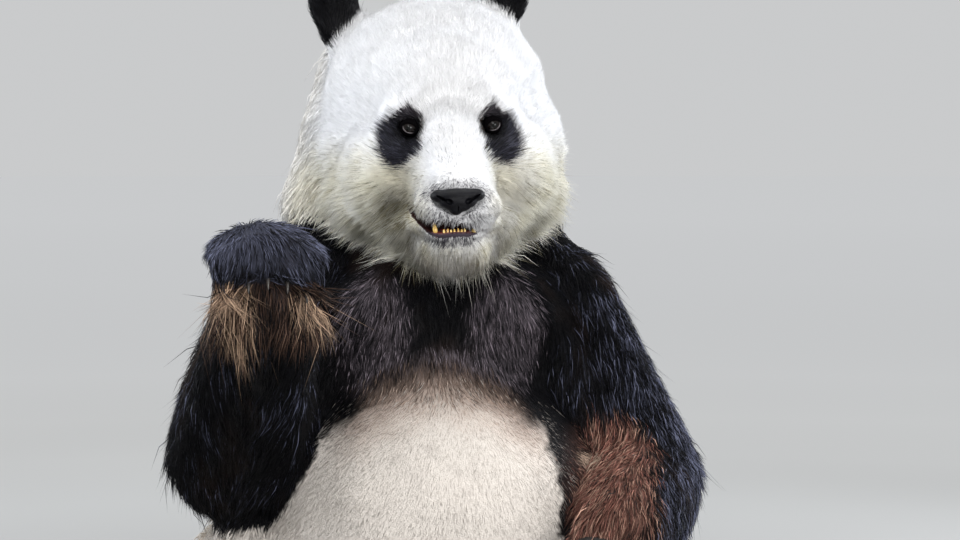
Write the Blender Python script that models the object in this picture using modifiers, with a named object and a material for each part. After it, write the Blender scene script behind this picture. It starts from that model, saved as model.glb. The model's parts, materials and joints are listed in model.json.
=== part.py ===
# A giant panda sitting on its rump, life size and still: the right forepaw is raised beside the mouth,
# the left forearm rests in front of the belly, and the hind legs are spread with the soles forward.
# Every named piece is a closed solid whose surface is the tips of the coat. Metres, +Z up; the animal
# faces -Y, so its left side is +X.

import math

import bmesh
import bpy
from mathutils import Matrix, Vector

# Driving dimensions. The layout below is scaled by this to life size.
LIFE_SCALE = 0.97
GAP = 0.0004  # between neighbouring solids
FLOOR = 0.006  # level of the layout at which what rests on the floor is flattened

# Fineness of the clay: voxel size and smoothing passes.
BODY_CLAY = {"voxel": 0.010, "smooth": 12}
FACE_CLAY = {"voxel": 0.006, "smooth": 8}
PAW_CLAY = {"voxel": 0.005, "smooth": 4}
NOSE_CLAY = {"voxel": 0.003, "smooth": 3}

# Colour and roughness of each material, by the start of the node's name.
FINISHES = {
    "eye": ((0.020, 0.012, 0.008), 0.05),
    "nose": ((0.012, 0.012, 0.014), 0.35),
    "claw": ((0.100, 0.085, 0.070), 0.40),
    "pad": ((0.035, 0.030, 0.030), 0.60),
    "head": ((0.840, 0.810, 0.750), 0.85),
    "lower_jaw": ((0.800, 0.750, 0.660), 0.85),
    "neck": ((0.820, 0.780, 0.700), 0.85),
    "abdomen": ((0.740, 0.690, 0.620), 0.85),
    "tail": ((0.760, 0.700, 0.620), 0.85),
    "": ((0.022, 0.021, 0.026), 0.75),
}

# Head. Its masses are laid out facing straight ahead, and turned afterwards.
HEAD_CENTRE = Vector((0, -0.08, 0.85))
HEAD_YAW, HEAD_ROLL = math.radians(-4.5), math.radians(-2)
EYE = {"side": 0.0550, "y": -0.188, "z": 0.852, "radius": 0.0135}
EAR = {"side": 0.115, "y": 0.010, "z": 1.022, "half_width": 0.043, "half_height": 0.054, "thickness": 0.020}
EARS_ASIDE = {"left": -0.024, "right": -0.023}  # both ears sit a little towards the right
EARS_TILT = {"left": 13, "right": 2}
NOSE = Vector((-0.003, -0.288, 0.755))
MOUTH = Vector((-0.002, -0.255, 0.725))
JAW_TIP = Vector((-0.002, -0.232, 0.694))

# Joints of the limbs: the centre of each, and the radius of the furred limb there.
ARM_JOINTS = {
    "right": {
        "shoulder": (-0.165, 0.020, 0.600),
        "elbow": (-0.288, -0.085, 0.415),
        "wrist": (-0.264, -0.310, 0.605),
    },
    "left": {
        "shoulder": (0.143, -0.005, 0.594),
        "elbow": (0.264, -0.105, 0.370),
        "wrist": (0.196, -0.300, 0.322),
    },
}
ARM_RADII = {"shoulder": 0.118, "elbow": 0.096, "forearm": 0.090, "wrist": 0.070}
LEG_JOINTS = {"hip": (0.200, -0.020, 0.200), "knee": (0.310, -0.275, 0.114), "ankle": (0.272, -0.450, 0.074)}
LEG_RADII = {"hip": 0.165, "knee": 0.112, "shin": 0.084, "ankle": 0.068}

# Hidden flat roots: the back of the head in the nape, the arms in the chest and the thighs in the abdomen.
NAPE_Y, ARM_ROOT_X, THIGH_ROOT_X, FOREPAW_ROOT = 0.075, 0.120, 0.105, -0.020

# Planes, as a point and a normal, that part the neck from the chest and the chest from the abdomen.
NECK_BASE = ((0, 0, 0.715), (0, -0.15, 1))
WAIST = ((0, 0, 0.520), (0, -0.15, 1))

# Paws. Laid out with the wrist at the origin, toes along +Y and the back of the paw up.
FORE_PALM = {"width": 0.070, "length": 0.085, "depth": 0.040}
HIND_PALM = {"width": 0.058, "length": 0.140, "depth": 0.036}
TOES = {"count": 5, "spread": 0.0270, "radius": 0.0215, "bones": (0.034, 0.025)}
FIST_CURL = 78  # degrees at each joint of a toe
CLAW = {"length": 0.026, "radius": 0.0050, "bend": 40, "stations": 3}


# Tools of the workshop.


def clear_scene():
    for obj in list(bpy.data.objects):
        bpy.data.objects.remove(obj)


def ball(centre, radii, turn=(0, 0, 0), segments=24):
    """One mass of flesh: an ellipsoid with its half sizes and its turn in degrees."""
    if not hasattr(radii, "__len__"):
        radii = (radii,) * 3
    bpy.ops.mesh.primitive_uv_sphere_add(
        segments=segments,
        ring_count=segments * 2 // 3,
        location=centre,
        rotation=[math.radians(a) for a in turn],
        scale=radii,
    )
    return bpy.context.object


def pair(centre, radii, turn=(0, 0, 0), segments=24):
    """The same mass on both sides of the median plane."""
    x, y, z = centre
    a, b, c = turn
    return [ball((x, y, z), radii, turn, segments), ball((-x, y, z), radii, (a, -b, -c), segments)]


def chain(*stations, beads=5):
    """A tapering limb: balls along the line through (point, radius) stations."""
    made = []
    for (start, r0), (end, r1) in zip(stations, stations[1:]):
        for k in range(beads):
            t = k / beads
            made.append(ball(Vector(start).lerp(Vector(end), t), r0 + (r1 - r0) * t))
    made.append(ball(*stations[-1]))
    return made


def joined(name, masses):
    bpy.ops.object.select_all(action="DESELECT")
    for obj in masses:
        obj.select_set(True)
    bpy.context.view_layer.objects.active = masses[0]
    if len(masses) > 1:
        bpy.ops.object.join()
    bpy.ops.object.transform_apply(location=True, rotation=True, scale=True)
    bpy.context.object.name = name
    return bpy.context.object


def apply_modifiers(obj):
    """Replaces the mesh by the one that its modifiers give."""
    graph = bpy.context.evaluated_depsgraph_get()
    mesh = bpy.data.meshes.new_from_object(obj.evaluated_get(graph), depsgraph=graph)
    obj.modifiers.clear()
    obj.data = mesh


def triangle_count(obj):
    return sum(len(face.vertices) - 2 for face in obj.data.polygons)


def moulded(name, masses, faces, clay=BODY_CLAY):
    """The masses kneaded into one smooth closed body of about this many triangles."""
    obj = joined(name, masses)
    knead = obj.modifiers.new("knead", "REMESH")
    knead.mode, knead.voxel_size = "VOXEL", clay["voxel"]
    soften = obj.modifiers.new("soften", "SMOOTH")
    soften.factor, soften.iterations = 0.5, clay["smooth"]
    apply_modifiers(obj)
    thin = obj.modifiers.new("thin", "DECIMATE")
    thin.ratio = min(1, faces / triangle_count(obj))
    thin.use_collapse_triangulate = True
    apply_modifiers(obj)
    return obj


def duplicate(obj, name):
    copy = obj.copy()
    copy.data = obj.data.copy()
    copy.name = name
    bpy.context.scene.collection.objects.link(copy)
    return copy


def grown(obj):
    """A copy larger by the gap, which cuts a neighbour back."""
    copy = duplicate(obj, f"{obj.name}_tool")
    swell = copy.modifiers.new("swell", "DISPLACE")
    swell.strength, swell.mid_level = GAP, 0
    apply_modifiers(copy)
    return copy


def boolean(obj, tool, operation="DIFFERENCE"):
    cut = obj.modifiers.new("cut", "BOOLEAN")
    cut.operation, cut.object = operation, tool
    apply_modifiers(obj)


def carve(obj, tools):
    for tool in tools:
        boolean(obj, tool)
        bpy.data.objects.remove(tool)


def keep_largest(obj):
    """Drops the scraps that a cut leaves beside the piece."""
    mesh = bmesh.new()
    mesh.from_mesh(obj.data)
    left, islands = set(mesh.verts), []
    while left:
        todo, island = [left.pop()], []
        while todo:
            vert = todo.pop()
            island.append(vert)
            near = {edge.other_vert(vert) for edge in vert.link_edges} & left
            left -= near
            todo += near
        islands.append(island)
    islands.sort(key=len)
    for island in islands[:-1]:
        bmesh.ops.delete(mesh, geom=island, context="VERTS")
    bmesh.ops.remove_doubles(mesh, verts=mesh.verts, dist=1e-5)
    mesh.to_mesh(obj.data)
    mesh.free()


def half_space(point, normal):
    """A large block whose top face lies in the plane, under the normal."""
    size = 4
    block_turn = Vector((0, 0, 1)).rotation_difference(Vector(normal))
    centre = Vector(point) - Vector(normal).normalized() * size / 2
    bpy.ops.mesh.primitive_cube_add(size=size, location=centre, rotation=block_turn.to_euler())
    bpy.ops.object.transform_apply(location=True, rotation=True, scale=True)
    return bpy.context.object


def split(obj, plane, above, below):
    """Parts a body into the piece above a plane and the piece below it, with the gap between."""
    point, normal = Vector(plane[0]), Vector(plane[1]).normalized()
    upper, lower = duplicate(obj, above), duplicate(obj, below)
    carve(upper, [half_space(point + normal * GAP / 2, normal)])
    carve(lower, [half_space(point - normal * GAP / 2, -normal)])
    bpy.data.objects.remove(obj)
    return [upper, lower]


def bend_plane(joints, before, joint, after):
    """The plane that halves the angle of a bent limb at the joint."""
    inward = (Vector(joints[joint]) - Vector(joints[before])).normalized()
    outward = (Vector(joints[after]) - Vector(joints[joint])).normalized()
    return joints[joint], inward + outward


def box_of(obj):
    points = [v.co for v in obj.data.vertices]
    return [[pick(p[k] for p in points) for k in range(3)] for pick in (min, max)]


def boxes_meet(one, other):
    (a0, a1), (b0, b1) = box_of(one), box_of(other)
    return all(a0[k] < b1[k] and b0[k] < a1[k] for k in range(3))


def fit_together(groups):
    """The first body, as it was moulded, cuts back every piece of the later ones that it meets."""
    for rank, (tool, _) in enumerate(groups):
        for _, pieces in groups[rank + 1 :]:
            for obj in pieces:
                if boxes_meet(tool, obj):
                    boolean(obj, tool)
                    keep_largest(obj)
    for tool, _ in groups:
        bpy.data.objects.remove(tool)


def group_of(obj, root=None):
    """A body with the tool that seats it in its neighbours. A root is a plane that trims its hidden end."""
    tool = grown(obj)
    if root:
        point, normal = Vector(root[0]), Vector(root[1])
        carve(obj, [half_space(point, normal)])
        carve(tool, [half_space(point - normal * GAP, normal)])
    return tool, [obj]


# Head.


def skull():
    masses = [
        ball((-0.006, -0.015, 0.895), (0.158, 0.152, 0.143)),  # crown
        ball((0, -0.100, 0.892), (0.112, 0.096, 0.104)),  # forehead
        ball((0, 0.030, 0.855), (0.156, 0.115, 0.140)),  # occiput
        ball((0, -0.178, 0.824), (0.052, 0.056, 0.058)),  # bridge of the nose
        ball((0, -0.110, 0.738), (0.104, 0.110, 0.070)),  # throat
    ]
    masses += pair((0.082, -0.010, 0.828), (0.094, 0.112, 0.102))  # temple and ruff
    masses += pair((0.078, -0.035, 0.765), (0.090, 0.105, 0.072))  # jowl
    masses += pair((0.079, -0.112, 0.796), (0.070, 0.086, 0.074))  # cheek
    masses += pair((0.056, -0.150, 0.876), (0.040, 0.044, 0.036))  # brow
    masses += pair((0.062, -0.150, 0.815), (0.046, 0.050, 0.040))  # below the eye
    masses += chain(
        ((0, -0.165, 0.790), 0.064),
        ((0, -0.212, 0.773), 0.055),
        ((-0.002, -0.250, 0.760), 0.043),
    )  # muzzle
    masses += pair((0.025, -0.246, 0.750), (0.034, 0.042, 0.028))  # upper lip
    return group_of(moulded("head", masses, 600, FACE_CLAY), ((0, NAPE_Y, 0), (0, -1, 0)))


def mouth_cavity():
    slit = [ball(MOUTH, (0.044, 0.050, 0.012), segments=8)]
    slit += pair(MOUTH + Vector((0.040, 0.020, 0.007)), (0.018, 0.034, 0.007), (0, -35, 0), segments=6)
    return slit


def lower_jaw():
    """The jaw with its front teeth and canines grown out of it."""
    masses = [
        ball(JAW_TIP, (0.036, 0.034, 0.022)),
        ball(JAW_TIP + Vector((0, 0.040, 0.000)), (0.050, 0.058, 0.030)),
        ball(JAW_TIP + Vector((0, 0.095, 0.008)), (0.064, 0.060, 0.036)),
    ]
    tool, (jaw,) = group_of(moulded("lower_jaw", masses, 160, PAW_CLAY))
    teeth = [((0.0240 * side, -0.008, 0.022), 0.0058, 0.026) for side in (1, -1)]  # canines
    incisors, arch = 6, 0.0165
    for k in range(incisors):
        angle = math.radians(-70 + 140 * k / (incisors - 1))
        teeth.append(((arch * math.sin(angle), -0.009 - 0.006 * math.cos(angle), 0.020), 0.0036, 0.016))
    for offset, radius, height in teeth:
        bpy.ops.mesh.primitive_cone_add(
            vertices=5,
            radius1=radius,
            radius2=radius * 0.35,
            depth=height,
            location=JAW_TIP + Vector(offset),
        )
        tooth = bpy.context.object
        bpy.ops.object.transform_apply(location=True, rotation=True, scale=True)
        boolean(jaw, tooth, "UNION")
        bpy.data.objects.remove(tooth)
    return tool, [jaw]


def eyes():
    made = []
    for side, word in ((1, "left"), (-1, "right")):
        centre = (EYE["side"] * side, EYE["y"], EYE["z"])
        made.append(group_of(joined(f"eye_{word}", [ball(centre, EYE["radius"], segments=10)])))
    return made


def nose():
    masses = [
        ball(NOSE, (0.030, 0.017, 0.013)),
        ball(NOSE + Vector((0, -0.001, -0.010)), (0.018, 0.016, 0.012)),
    ]
    for side in (1, -1):
        wing = NOSE + Vector((0.020 * side, 0.004, 0.001))
        masses.append(ball(wing, (0.014, 0.015, 0.013), (0, 20 * side, 0)))
    tool, (leather,) = group_of(moulded("nose", masses, 160, NOSE_CLAY))
    for side in (1, -1):
        opening = NOSE + Vector((0.0160 * side, -0.016, -0.004))
        carve(leather, [ball(opening, (0.008, 0.008, 0.0035), (0, -25 * side, 0), segments=8)])
    return tool, [leather]


def ears():
    made = []
    for side, word in ((1, "left"), (-1, "right")):
        turn = (-12, EARS_TILT[word] * side, -30 * side)
        centre = Vector((EARS_ASIDE[word] + EAR["side"] * side, EAR["y"], EAR["z"]))
        flap = ball(centre, (EAR["half_width"], EAR["thickness"], EAR["half_height"]), turn)
        root = ball(centre + Vector((-0.012 * side, 0.004, -0.038)), (0.038, 0.026, 0.034), turn)
        tool, (ear,) = group_of(moulded(f"ear_{word}", [flap, root], 110, PAW_CLAY))
        shell = centre + Vector((0.009 * side, -0.023, 0.004))
        carve(ear, [ball(shell, (0.031, 0.016, 0.036), turn, segments=9)])
        made.append((tool, [ear]))
    return made


def head_groups():
    """Eyes, nose, jaw, skull and ears, turned together."""
    skull_group = skull()
    carve(skull_group[1][0], mouth_cavity())
    groups = [*eyes(), nose(), lower_jaw(), skull_group, *ears()]
    turn = (
        Matrix.Translation(HEAD_CENTRE)
        @ Matrix.Rotation(HEAD_YAW, 4, "Z")
        @ Matrix.Rotation(HEAD_ROLL, 4, "Y")
        @ Matrix.Translation(-HEAD_CENTRE)
    )
    for tool, (obj,) in groups:
        tool.data.transform(turn)
        obj.data.transform(turn)
    return groups


# Body and limbs.


def body_group():
    masses = [
        ball((0, 0.095, 0.190), (0.270, 0.240, 0.205)),  # rump
        ball((0, -0.060, 0.300), (0.252, 0.245, 0.235)),  # belly
        ball((0, 0.060, 0.350), (0.262, 0.238, 0.250)),  # back
        ball((0, 0.040, 0.520), (0.235, 0.212, 0.210)),  # rib cage
        ball((0, 0.070, 0.655), (0.200, 0.170, 0.125)),  # withers
        ball((-0.005, 0.075, 0.750), (0.208, 0.162, 0.125)),  # neck
        ball((-0.011, 0.060, 0.835), (0.178, 0.142, 0.135)),  # nape
        ball((-0.013, 0.060, 0.925), (0.153, 0.110, 0.088)),  # back of the head
    ]
    masses += pair((0.140, 0.050, 0.600), (0.085, 0.105, 0.085))  # shoulder blade
    masses += pair((0.080, -0.105, 0.590), (0.090, 0.070, 0.085))  # breast
    body = moulded("body", masses, 480)
    tool = grown(body)
    neck, torso = split(body, NECK_BASE, "neck", "torso")
    return tool, [neck, *split(torso, WAIST, "chest", "abdomen")]


def tail_group():
    masses = [
        ball((0, 0.300, 0.130), (0.052, 0.040, 0.060)),
        ball((0, 0.312, 0.068), (0.060, 0.036, 0.062)),
    ]
    return group_of(moulded("tail", masses, 100))


def arm_group(word):
    joints = {name: Vector(at) for name, at in ARM_JOINTS[word].items()}
    middle = joints["elbow"].lerp(joints["wrist"], 0.45)
    arm = moulded(
        f"arm_{word}",
        chain(
            (joints["shoulder"], ARM_RADII["shoulder"]),
            (joints["elbow"], ARM_RADII["elbow"]),
            (middle, ARM_RADII["forearm"]),
            (joints["wrist"], ARM_RADII["wrist"]),
        ),
        185,
    )
    side = math.copysign(1, joints["shoulder"].x)
    tool, (arm,) = group_of(arm, ((ARM_ROOT_X * side, 0, 0), (side, 0, 0)))
    elbow = bend_plane(joints, "shoulder", "elbow", "wrist")
    return tool, split(arm, elbow, f"forearm_{word}", f"upper_arm_{word}")


def leg_group(side, word):
    joints = {name: Vector((x * side, y, z)) for name, (x, y, z) in LEG_JOINTS.items()}
    middle = joints["knee"].lerp(joints["ankle"], 0.5)
    leg = moulded(
        f"leg_{word}",
        chain(
            (joints["hip"], LEG_RADII["hip"]),
            (joints["knee"], LEG_RADII["knee"]),
            (middle, LEG_RADII["shin"]),
            (joints["ankle"], LEG_RADII["ankle"]),
        ),
        185,
    )
    tool, (leg,) = group_of(leg, ((THIGH_ROOT_X * side, 0, 0), (side, 0, 0)))
    knee = bend_plane(joints, "hip", "knee", "ankle")
    return tool, split(leg, knee, f"shin_{word}", f"thigh_{word}")


# Paws.


def frame_of(origin, along, back):
    """The placing of a paw whose toes point along and whose back faces back."""
    y = Vector(along).normalized()
    x = y.cross(Vector(back)).normalized()
    z = x.cross(y)
    return Matrix.Translation(origin) @ Matrix((x, y, z)).transposed().to_4x4()


def toe_points(index, knuckle_y, curl):
    """Knuckle, middle joint and tip of one toe, each bone turned down by curl degrees more."""
    across = index - (TOES["count"] - 1) / 2
    point = Vector((across * TOES["spread"], knuckle_y - 0.0045 * across**2, 0.006 - 0.002 * across**2))
    points, angle, fan = [point], 0, math.radians(4.5 * across)
    for bone in TOES["bones"]:
        angle += math.radians(curl)
        ahead = Vector((math.sin(fan) * math.cos(angle), math.cos(fan) * math.cos(angle), -math.sin(angle)))
        point = point + ahead * bone
        points.append(point)
    return points, ahead


def claw(name, root, ahead, placing):
    """A horn cone that bends towards the palm, drawn as a tapered tube."""
    curve = bpy.data.curves.new(name, "CURVE")
    curve.dimensions, curve.use_fill_caps = "3D", True
    curve.bevel_depth, curve.bevel_resolution = CLAW["radius"], 1
    steps = CLAW["stations"] - 1
    line = curve.splines.new("POLY")
    line.points.add(steps)
    across = ahead.cross(Vector((0, 1, 1))).normalized()
    point = root.copy()
    for k, station in enumerate(line.points):
        station.co = (*point, 1)
        station.radius = 1 - 0.85 * (k / steps) ** 1.5
        bend = Matrix.Rotation(math.radians(-CLAW["bend"] * k / steps), 3, across)
        point = point + bend @ ahead * CLAW["length"] / steps
    guide = bpy.data.objects.new(name, curve)
    bpy.context.scene.collection.objects.link(guide)
    graph = bpy.context.evaluated_depsgraph_get()
    mesh = bpy.data.meshes.new_from_object(guide.evaluated_get(graph), depsgraph=graph)
    bpy.data.objects.remove(guide)
    weld = bmesh.new()
    weld.from_mesh(mesh)
    bmesh.ops.remove_doubles(weld, verts=weld.verts, dist=1e-5)
    bmesh.ops.recalc_face_normals(weld, faces=weld.faces)
    weld.to_mesh(mesh)
    weld.free()
    mesh.transform(placing)
    made = bpy.data.objects.new(name, mesh)
    bpy.context.scene.collection.objects.link(made)
    return made


def paw_groups(name, placing, palm, curl):
    """The claws, then the palm with its toes as one body, then the bare pads lying on its underside."""
    width, length, depth = palm["width"], palm["length"], palm["depth"]
    masses = [
        ball((0, 0, 0), (width * 0.86, 0.052, depth * 1.15)),
        ball((0, length * 0.55, 0.002), (width, length * 0.58, depth)),
        ball((0, length * 0.45, -depth * 0.35), (width * 0.88, length * 0.44, depth * 0.8)),
    ]
    claws = []
    for index in range(TOES["count"]):
        points, ahead = toe_points(index, length * 0.88, curl)
        masses += chain(*[(p, TOES["radius"]) for p in points], beads=3)
        root = points[-1] + ahead * TOES["radius"] * 0.35
        claws.append(claw(f"claw_{name}_{index + 1}", root, ahead, placing))
    root = ((0, FOREPAW_ROOT, 0), (0, 1, 0)) if name.startswith("fore") else None
    tool, (body,) = group_of(moulded(f"paw_{name}", masses, 220, PAW_CLAY), root)
    for obj in (tool, body):
        obj.data.transform(placing)
    pads = {}
    if curl < FIST_CURL:  # a fist closes over its palm
        pads[f"pad_{name}"] = ((0, length * 0.66, -depth * 1.06), (width * 0.72, 0.024, 0.013))
    if name.startswith("fore"):
        place = (0.008, -0.014, -depth * 1.14) if curl >= FIST_CURL else (0, -0.002, -depth * 1.16)
        pads[f"pad_wrist_{name[5:]}"] = (place, (0.018, 0.016, 0.012))
    else:
        pads[f"pad_heel_{name[5:]}"] = ((0, 0.004, -depth * 1.16), (0.030, 0.026, 0.012))
    groups = [*map(group_of, claws), (tool, [body])]
    for pad_name, (centre, radii) in pads.items():
        pad = joined(pad_name, [ball(centre, radii, segments=8)])
        pad.data.transform(placing)
        groups.append(group_of(pad))
    return groups


def all_paws():
    right, left = Vector(ARM_JOINTS["right"]["wrist"]), Vector(ARM_JOINTS["left"]["wrist"])
    fist = frame_of(right + Vector((-0.008, -0.005, 0.044)), (0.03, -0.45, 0.80), (-0.05, 0.80, 0.50))
    groups = paw_groups("fore_right", fist, FORE_PALM, FIST_CURL)
    palm_up = frame_of(left, (-0.40, -0.60, -0.50), (0.10, 0.55, -0.75))
    groups += paw_groups("fore_left", palm_up, FORE_PALM, 24)
    for side, word in ((1, "left"), (-1, "right")):
        x, y, z = LEG_JOINTS["ankle"]
        heel = Vector((x * side, y - 0.028, z - 0.026))
        sole_forward = frame_of(heel, (0.20 * side, -0.22, 0.95), (0.10 * side, 0.95, 0.20))
        groups += paw_groups(f"hind_{word}", sole_forward, HIND_PALM, 14)
    return groups


# Assembly.


def flatten_on_floor(pieces):
    for obj in pieces:
        if box_of(obj)[0][2] < FLOOR:
            carve(obj, [half_space((0, 0, FLOOR), (0, 0, 1))])
            keep_largest(obj)


def centre_and_scale(pieces):
    """Puts the middle of the footprint on the origin and the floor at zero, at life size."""
    boxes = [box_of(obj) for obj in pieces]
    low = [min(box[0][k] for box in boxes) for k in range(3)]
    high = [max(box[1][k] for box in boxes) for k in range(3)]
    centre = Vector(((low[0] + high[0]) / 2, (low[1] + high[1]) / 2, low[2]))
    for obj in pieces:
        obj.data.transform(Matrix.Scale(LIFE_SCALE, 4) @ Matrix.Translation(-centre))


def dress(obj):
    """Gives a piece its material and smooth shading."""
    start = max((key for key in FINISHES if obj.name.startswith(key)), key=len)
    colour, roughness = FINISHES[start]
    material = bpy.data.materials.new(obj.name)
    material.use_nodes = True
    shader = material.node_tree.nodes["Principled BSDF"]
    shader.inputs["Base Color"].default_value = (*colour, 1)
    shader.inputs["Roughness"].default_value = roughness
    shader.inputs["Metallic"].default_value = 0
    obj.data.materials.clear()
    obj.data.materials.append(material)
    obj.data.shade_smooth()


def main():
    clear_scene()
    groups = head_groups() + all_paws()
    groups += [arm_group("right"), arm_group("left")]
    groups += [leg_group(1, "left"), leg_group(-1, "right"), body_group(), tail_group()]
    fit_together(groups)
    pieces = [obj for _, group in groups for obj in group]
    flatten_on_floor(pieces)
    centre_and_scale(pieces)
    home = bpy.data.collections.new("giant_panda")
    bpy.context.scene.collection.children.link(home)
    for obj in pieces:
        dress(obj)
        for old in obj.users_collection:
            old.objects.unlink(obj)
        home.objects.link(obj)


main()
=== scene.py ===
import json
import math

import bpy
import numpy as np
from mathutils import Matrix, Vector
from mathutils.kdtree import KDTree

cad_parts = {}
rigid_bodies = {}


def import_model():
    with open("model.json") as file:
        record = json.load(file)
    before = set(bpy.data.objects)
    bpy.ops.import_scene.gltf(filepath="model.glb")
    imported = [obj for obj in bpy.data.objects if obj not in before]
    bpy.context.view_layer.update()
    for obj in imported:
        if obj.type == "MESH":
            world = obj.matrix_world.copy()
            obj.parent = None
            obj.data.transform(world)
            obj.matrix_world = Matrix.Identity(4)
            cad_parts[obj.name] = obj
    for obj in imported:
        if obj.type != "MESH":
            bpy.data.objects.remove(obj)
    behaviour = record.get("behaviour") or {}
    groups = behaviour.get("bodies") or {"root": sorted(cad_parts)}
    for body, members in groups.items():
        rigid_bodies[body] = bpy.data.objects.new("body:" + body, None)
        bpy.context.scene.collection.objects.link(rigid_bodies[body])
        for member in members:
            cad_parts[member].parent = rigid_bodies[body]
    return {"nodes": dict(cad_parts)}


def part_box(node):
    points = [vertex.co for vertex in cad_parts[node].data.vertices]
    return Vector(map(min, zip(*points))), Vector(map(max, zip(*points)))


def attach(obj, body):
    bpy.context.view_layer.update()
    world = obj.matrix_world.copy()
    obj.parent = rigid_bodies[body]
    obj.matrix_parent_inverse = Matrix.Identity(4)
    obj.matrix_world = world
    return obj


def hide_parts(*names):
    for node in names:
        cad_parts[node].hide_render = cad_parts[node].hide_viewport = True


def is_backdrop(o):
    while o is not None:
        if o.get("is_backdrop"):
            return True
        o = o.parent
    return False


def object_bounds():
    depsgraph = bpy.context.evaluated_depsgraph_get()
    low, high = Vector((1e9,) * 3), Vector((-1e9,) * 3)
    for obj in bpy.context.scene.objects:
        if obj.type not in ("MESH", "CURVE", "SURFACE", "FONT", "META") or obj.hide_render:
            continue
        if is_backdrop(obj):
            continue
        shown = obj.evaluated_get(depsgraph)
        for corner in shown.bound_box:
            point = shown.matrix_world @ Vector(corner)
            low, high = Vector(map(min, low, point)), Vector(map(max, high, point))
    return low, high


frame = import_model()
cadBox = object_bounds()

# the giant panda: one skin under solid tufts of fur, eyes, nose, mouth, claws and pads


def middle(name):
    low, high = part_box(name)
    return (low + high) / 2


# the head's own frame, from where the eyes and the nose are
eyeNames = ("eye_left", "eye_right")
eyeMid = (middle("eye_left") + middle("eye_right")) / 2
across = (middle("eye_left") - middle("eye_right")).normalized()  # towards its left
ahead = across.cross(Vector((0, 0, 1))).normalized()
upward = ahead.cross(across)
noseMid = middle("nose")
headTurn = Matrix((across, -ahead, upward)).transposed()


def onHead(side, forward, height, start=None):
    return (start or eyeMid) + across * side + ahead * forward + upward * height


def inHead(places, start):
    # how far these places lie to the side, forwards and up from the start
    away = places - np.array(start)
    return [away @ np.array(way) for way in (across, ahead, upward)]


def apartFrom(places, spot):
    return np.linalg.norm(places - np.array(spot), axis=1)


def fromNearestEye(places):
    return np.minimum(*[apartFrom(places, middle(name)) for name in eyeNames])


# small helpers


def deselect():
    if bpy.context.mode != "OBJECT":
        bpy.ops.object.mode_set(mode="OBJECT")
    bpy.ops.object.select_all(action="DESELECT")


def makeActive(piece):
    deselect()
    piece.select_set(True)
    bpy.context.view_layer.objects.active = piece


def startEdit(piece, action="SELECT"):
    makeActive(piece)
    bpy.ops.object.mode_set(mode="EDIT")
    bpy.ops.mesh.select_all(action=action)


def endEdit():
    bpy.ops.object.mode_set(mode="OBJECT")


def newPiece(name, data):
    piece = bpy.data.objects.new(name, data)
    bpy.context.scene.collection.objects.link(piece)
    return piece


def copyOfNode(name):
    # a free copy of a solid, with its loose triangles merged
    piece = newPiece(name + "_copy", frame["nodes"][name].data.copy())
    piece.data.materials.clear()
    startEdit(piece)
    bpy.ops.mesh.remove_doubles(threshold=1e-5)
    endEdit()
    return piece


def joinAll(pieces, name):
    deselect()
    for piece in pieces:
        piece.select_set(True)
    bpy.context.view_layer.objects.active = pieces[0]
    if len(pieces) > 1:
        bpy.ops.object.join()
    pieces[0].name = name
    pieces[0].data.name = name
    return pieces[0]


def modify(piece, kind, **values):
    makeActive(piece)
    change = piece.modifiers.new(kind.lower(), kind)
    for key, value in values.items():
        setattr(change, key, value)
    bpy.ops.object.modifier_apply(modifier=change.name)


def settle(piece):
    # place, turn and scale go into the mesh, and the faces point outwards
    makeActive(piece)
    bpy.ops.object.transform_apply(location=True, rotation=True, scale=True)
    startEdit(piece)
    bpy.ops.mesh.normals_make_consistent(inside=False)
    endEdit()
    bpy.ops.object.shade_smooth()


def addBall(segments, rings, radius=1):
    deselect()
    bpy.ops.mesh.primitive_uv_sphere_add(segments=segments, ring_count=rings, radius=radius)
    return bpy.context.object


def addMass(start, place, sizes, tilt=0):
    # an egg of these half sizes, in the head's frame
    mass = addBall(32, 21)
    spin = Matrix.Rotation(math.radians(tilt), 4, "Y")
    mass.data.transform(headTurn.to_4x4() @ spin @ Matrix.Diagonal((*sizes, 1)))
    mass.data.transform(Matrix.Translation(onHead(*place, start)))
    settle(mass)
    return mass


def readMesh(data, key, width=3, kind=np.float32):
    values = np.zeros(len(data) * width, kind)
    data.foreach_get(key, values)
    return values.reshape(-1, width)


def readPoints(mesh, what="vertices", key="co"):
    return readMesh(getattr(mesh, what), key).astype(float)


def writePoints(mesh, places):
    mesh.vertices.foreach_set("co", places.astype(np.float32).ravel())


def paintPoints(mesh, name, colour):
    layer = mesh.color_attributes.new(name, "FLOAT_COLOR", "POINT")
    shown = np.concatenate((colour, np.ones((len(colour), 1))), 1)
    layer.data.foreach_set("color", shown.astype(np.float32).ravel())


def trianglesOf(mesh):
    mesh.calc_loop_triangles()
    return readMesh(mesh.loop_triangles, "vertices", 3, np.int32)


def areaOf(corners):
    return np.linalg.norm(np.cross(corners[:, 1] - corners[:, 0], corners[:, 2] - corners[:, 0]), axis=1) / 2


def indexOf(places):
    index = KDTree(len(places))
    for k, place in enumerate(places):
        index.insert(place, k)
    index.balance()
    return index


def nearestIn(index, places):
    return np.array([index.find(place)[1] for place in places])


def unit(vectors):
    return vectors / np.maximum(np.linalg.norm(vectors, axis=-1, keepdims=True), 1e-9)


def dot(one, other):
    return (one * other).sum(-1)


def rising(values, low, high):
    # smoothly from nothing at the low value to one at the high one
    t = np.clip((values - low) / (high - low), 0, 1)
    return t * t * (3 - 2 * t)


def falling(values, low, high):
    return 1 - rising(values, low, high)


def mix(one, other, part):
    part = np.asarray(part, float)[..., None]
    return one * (1 - part) + np.asarray(other) * part


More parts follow.
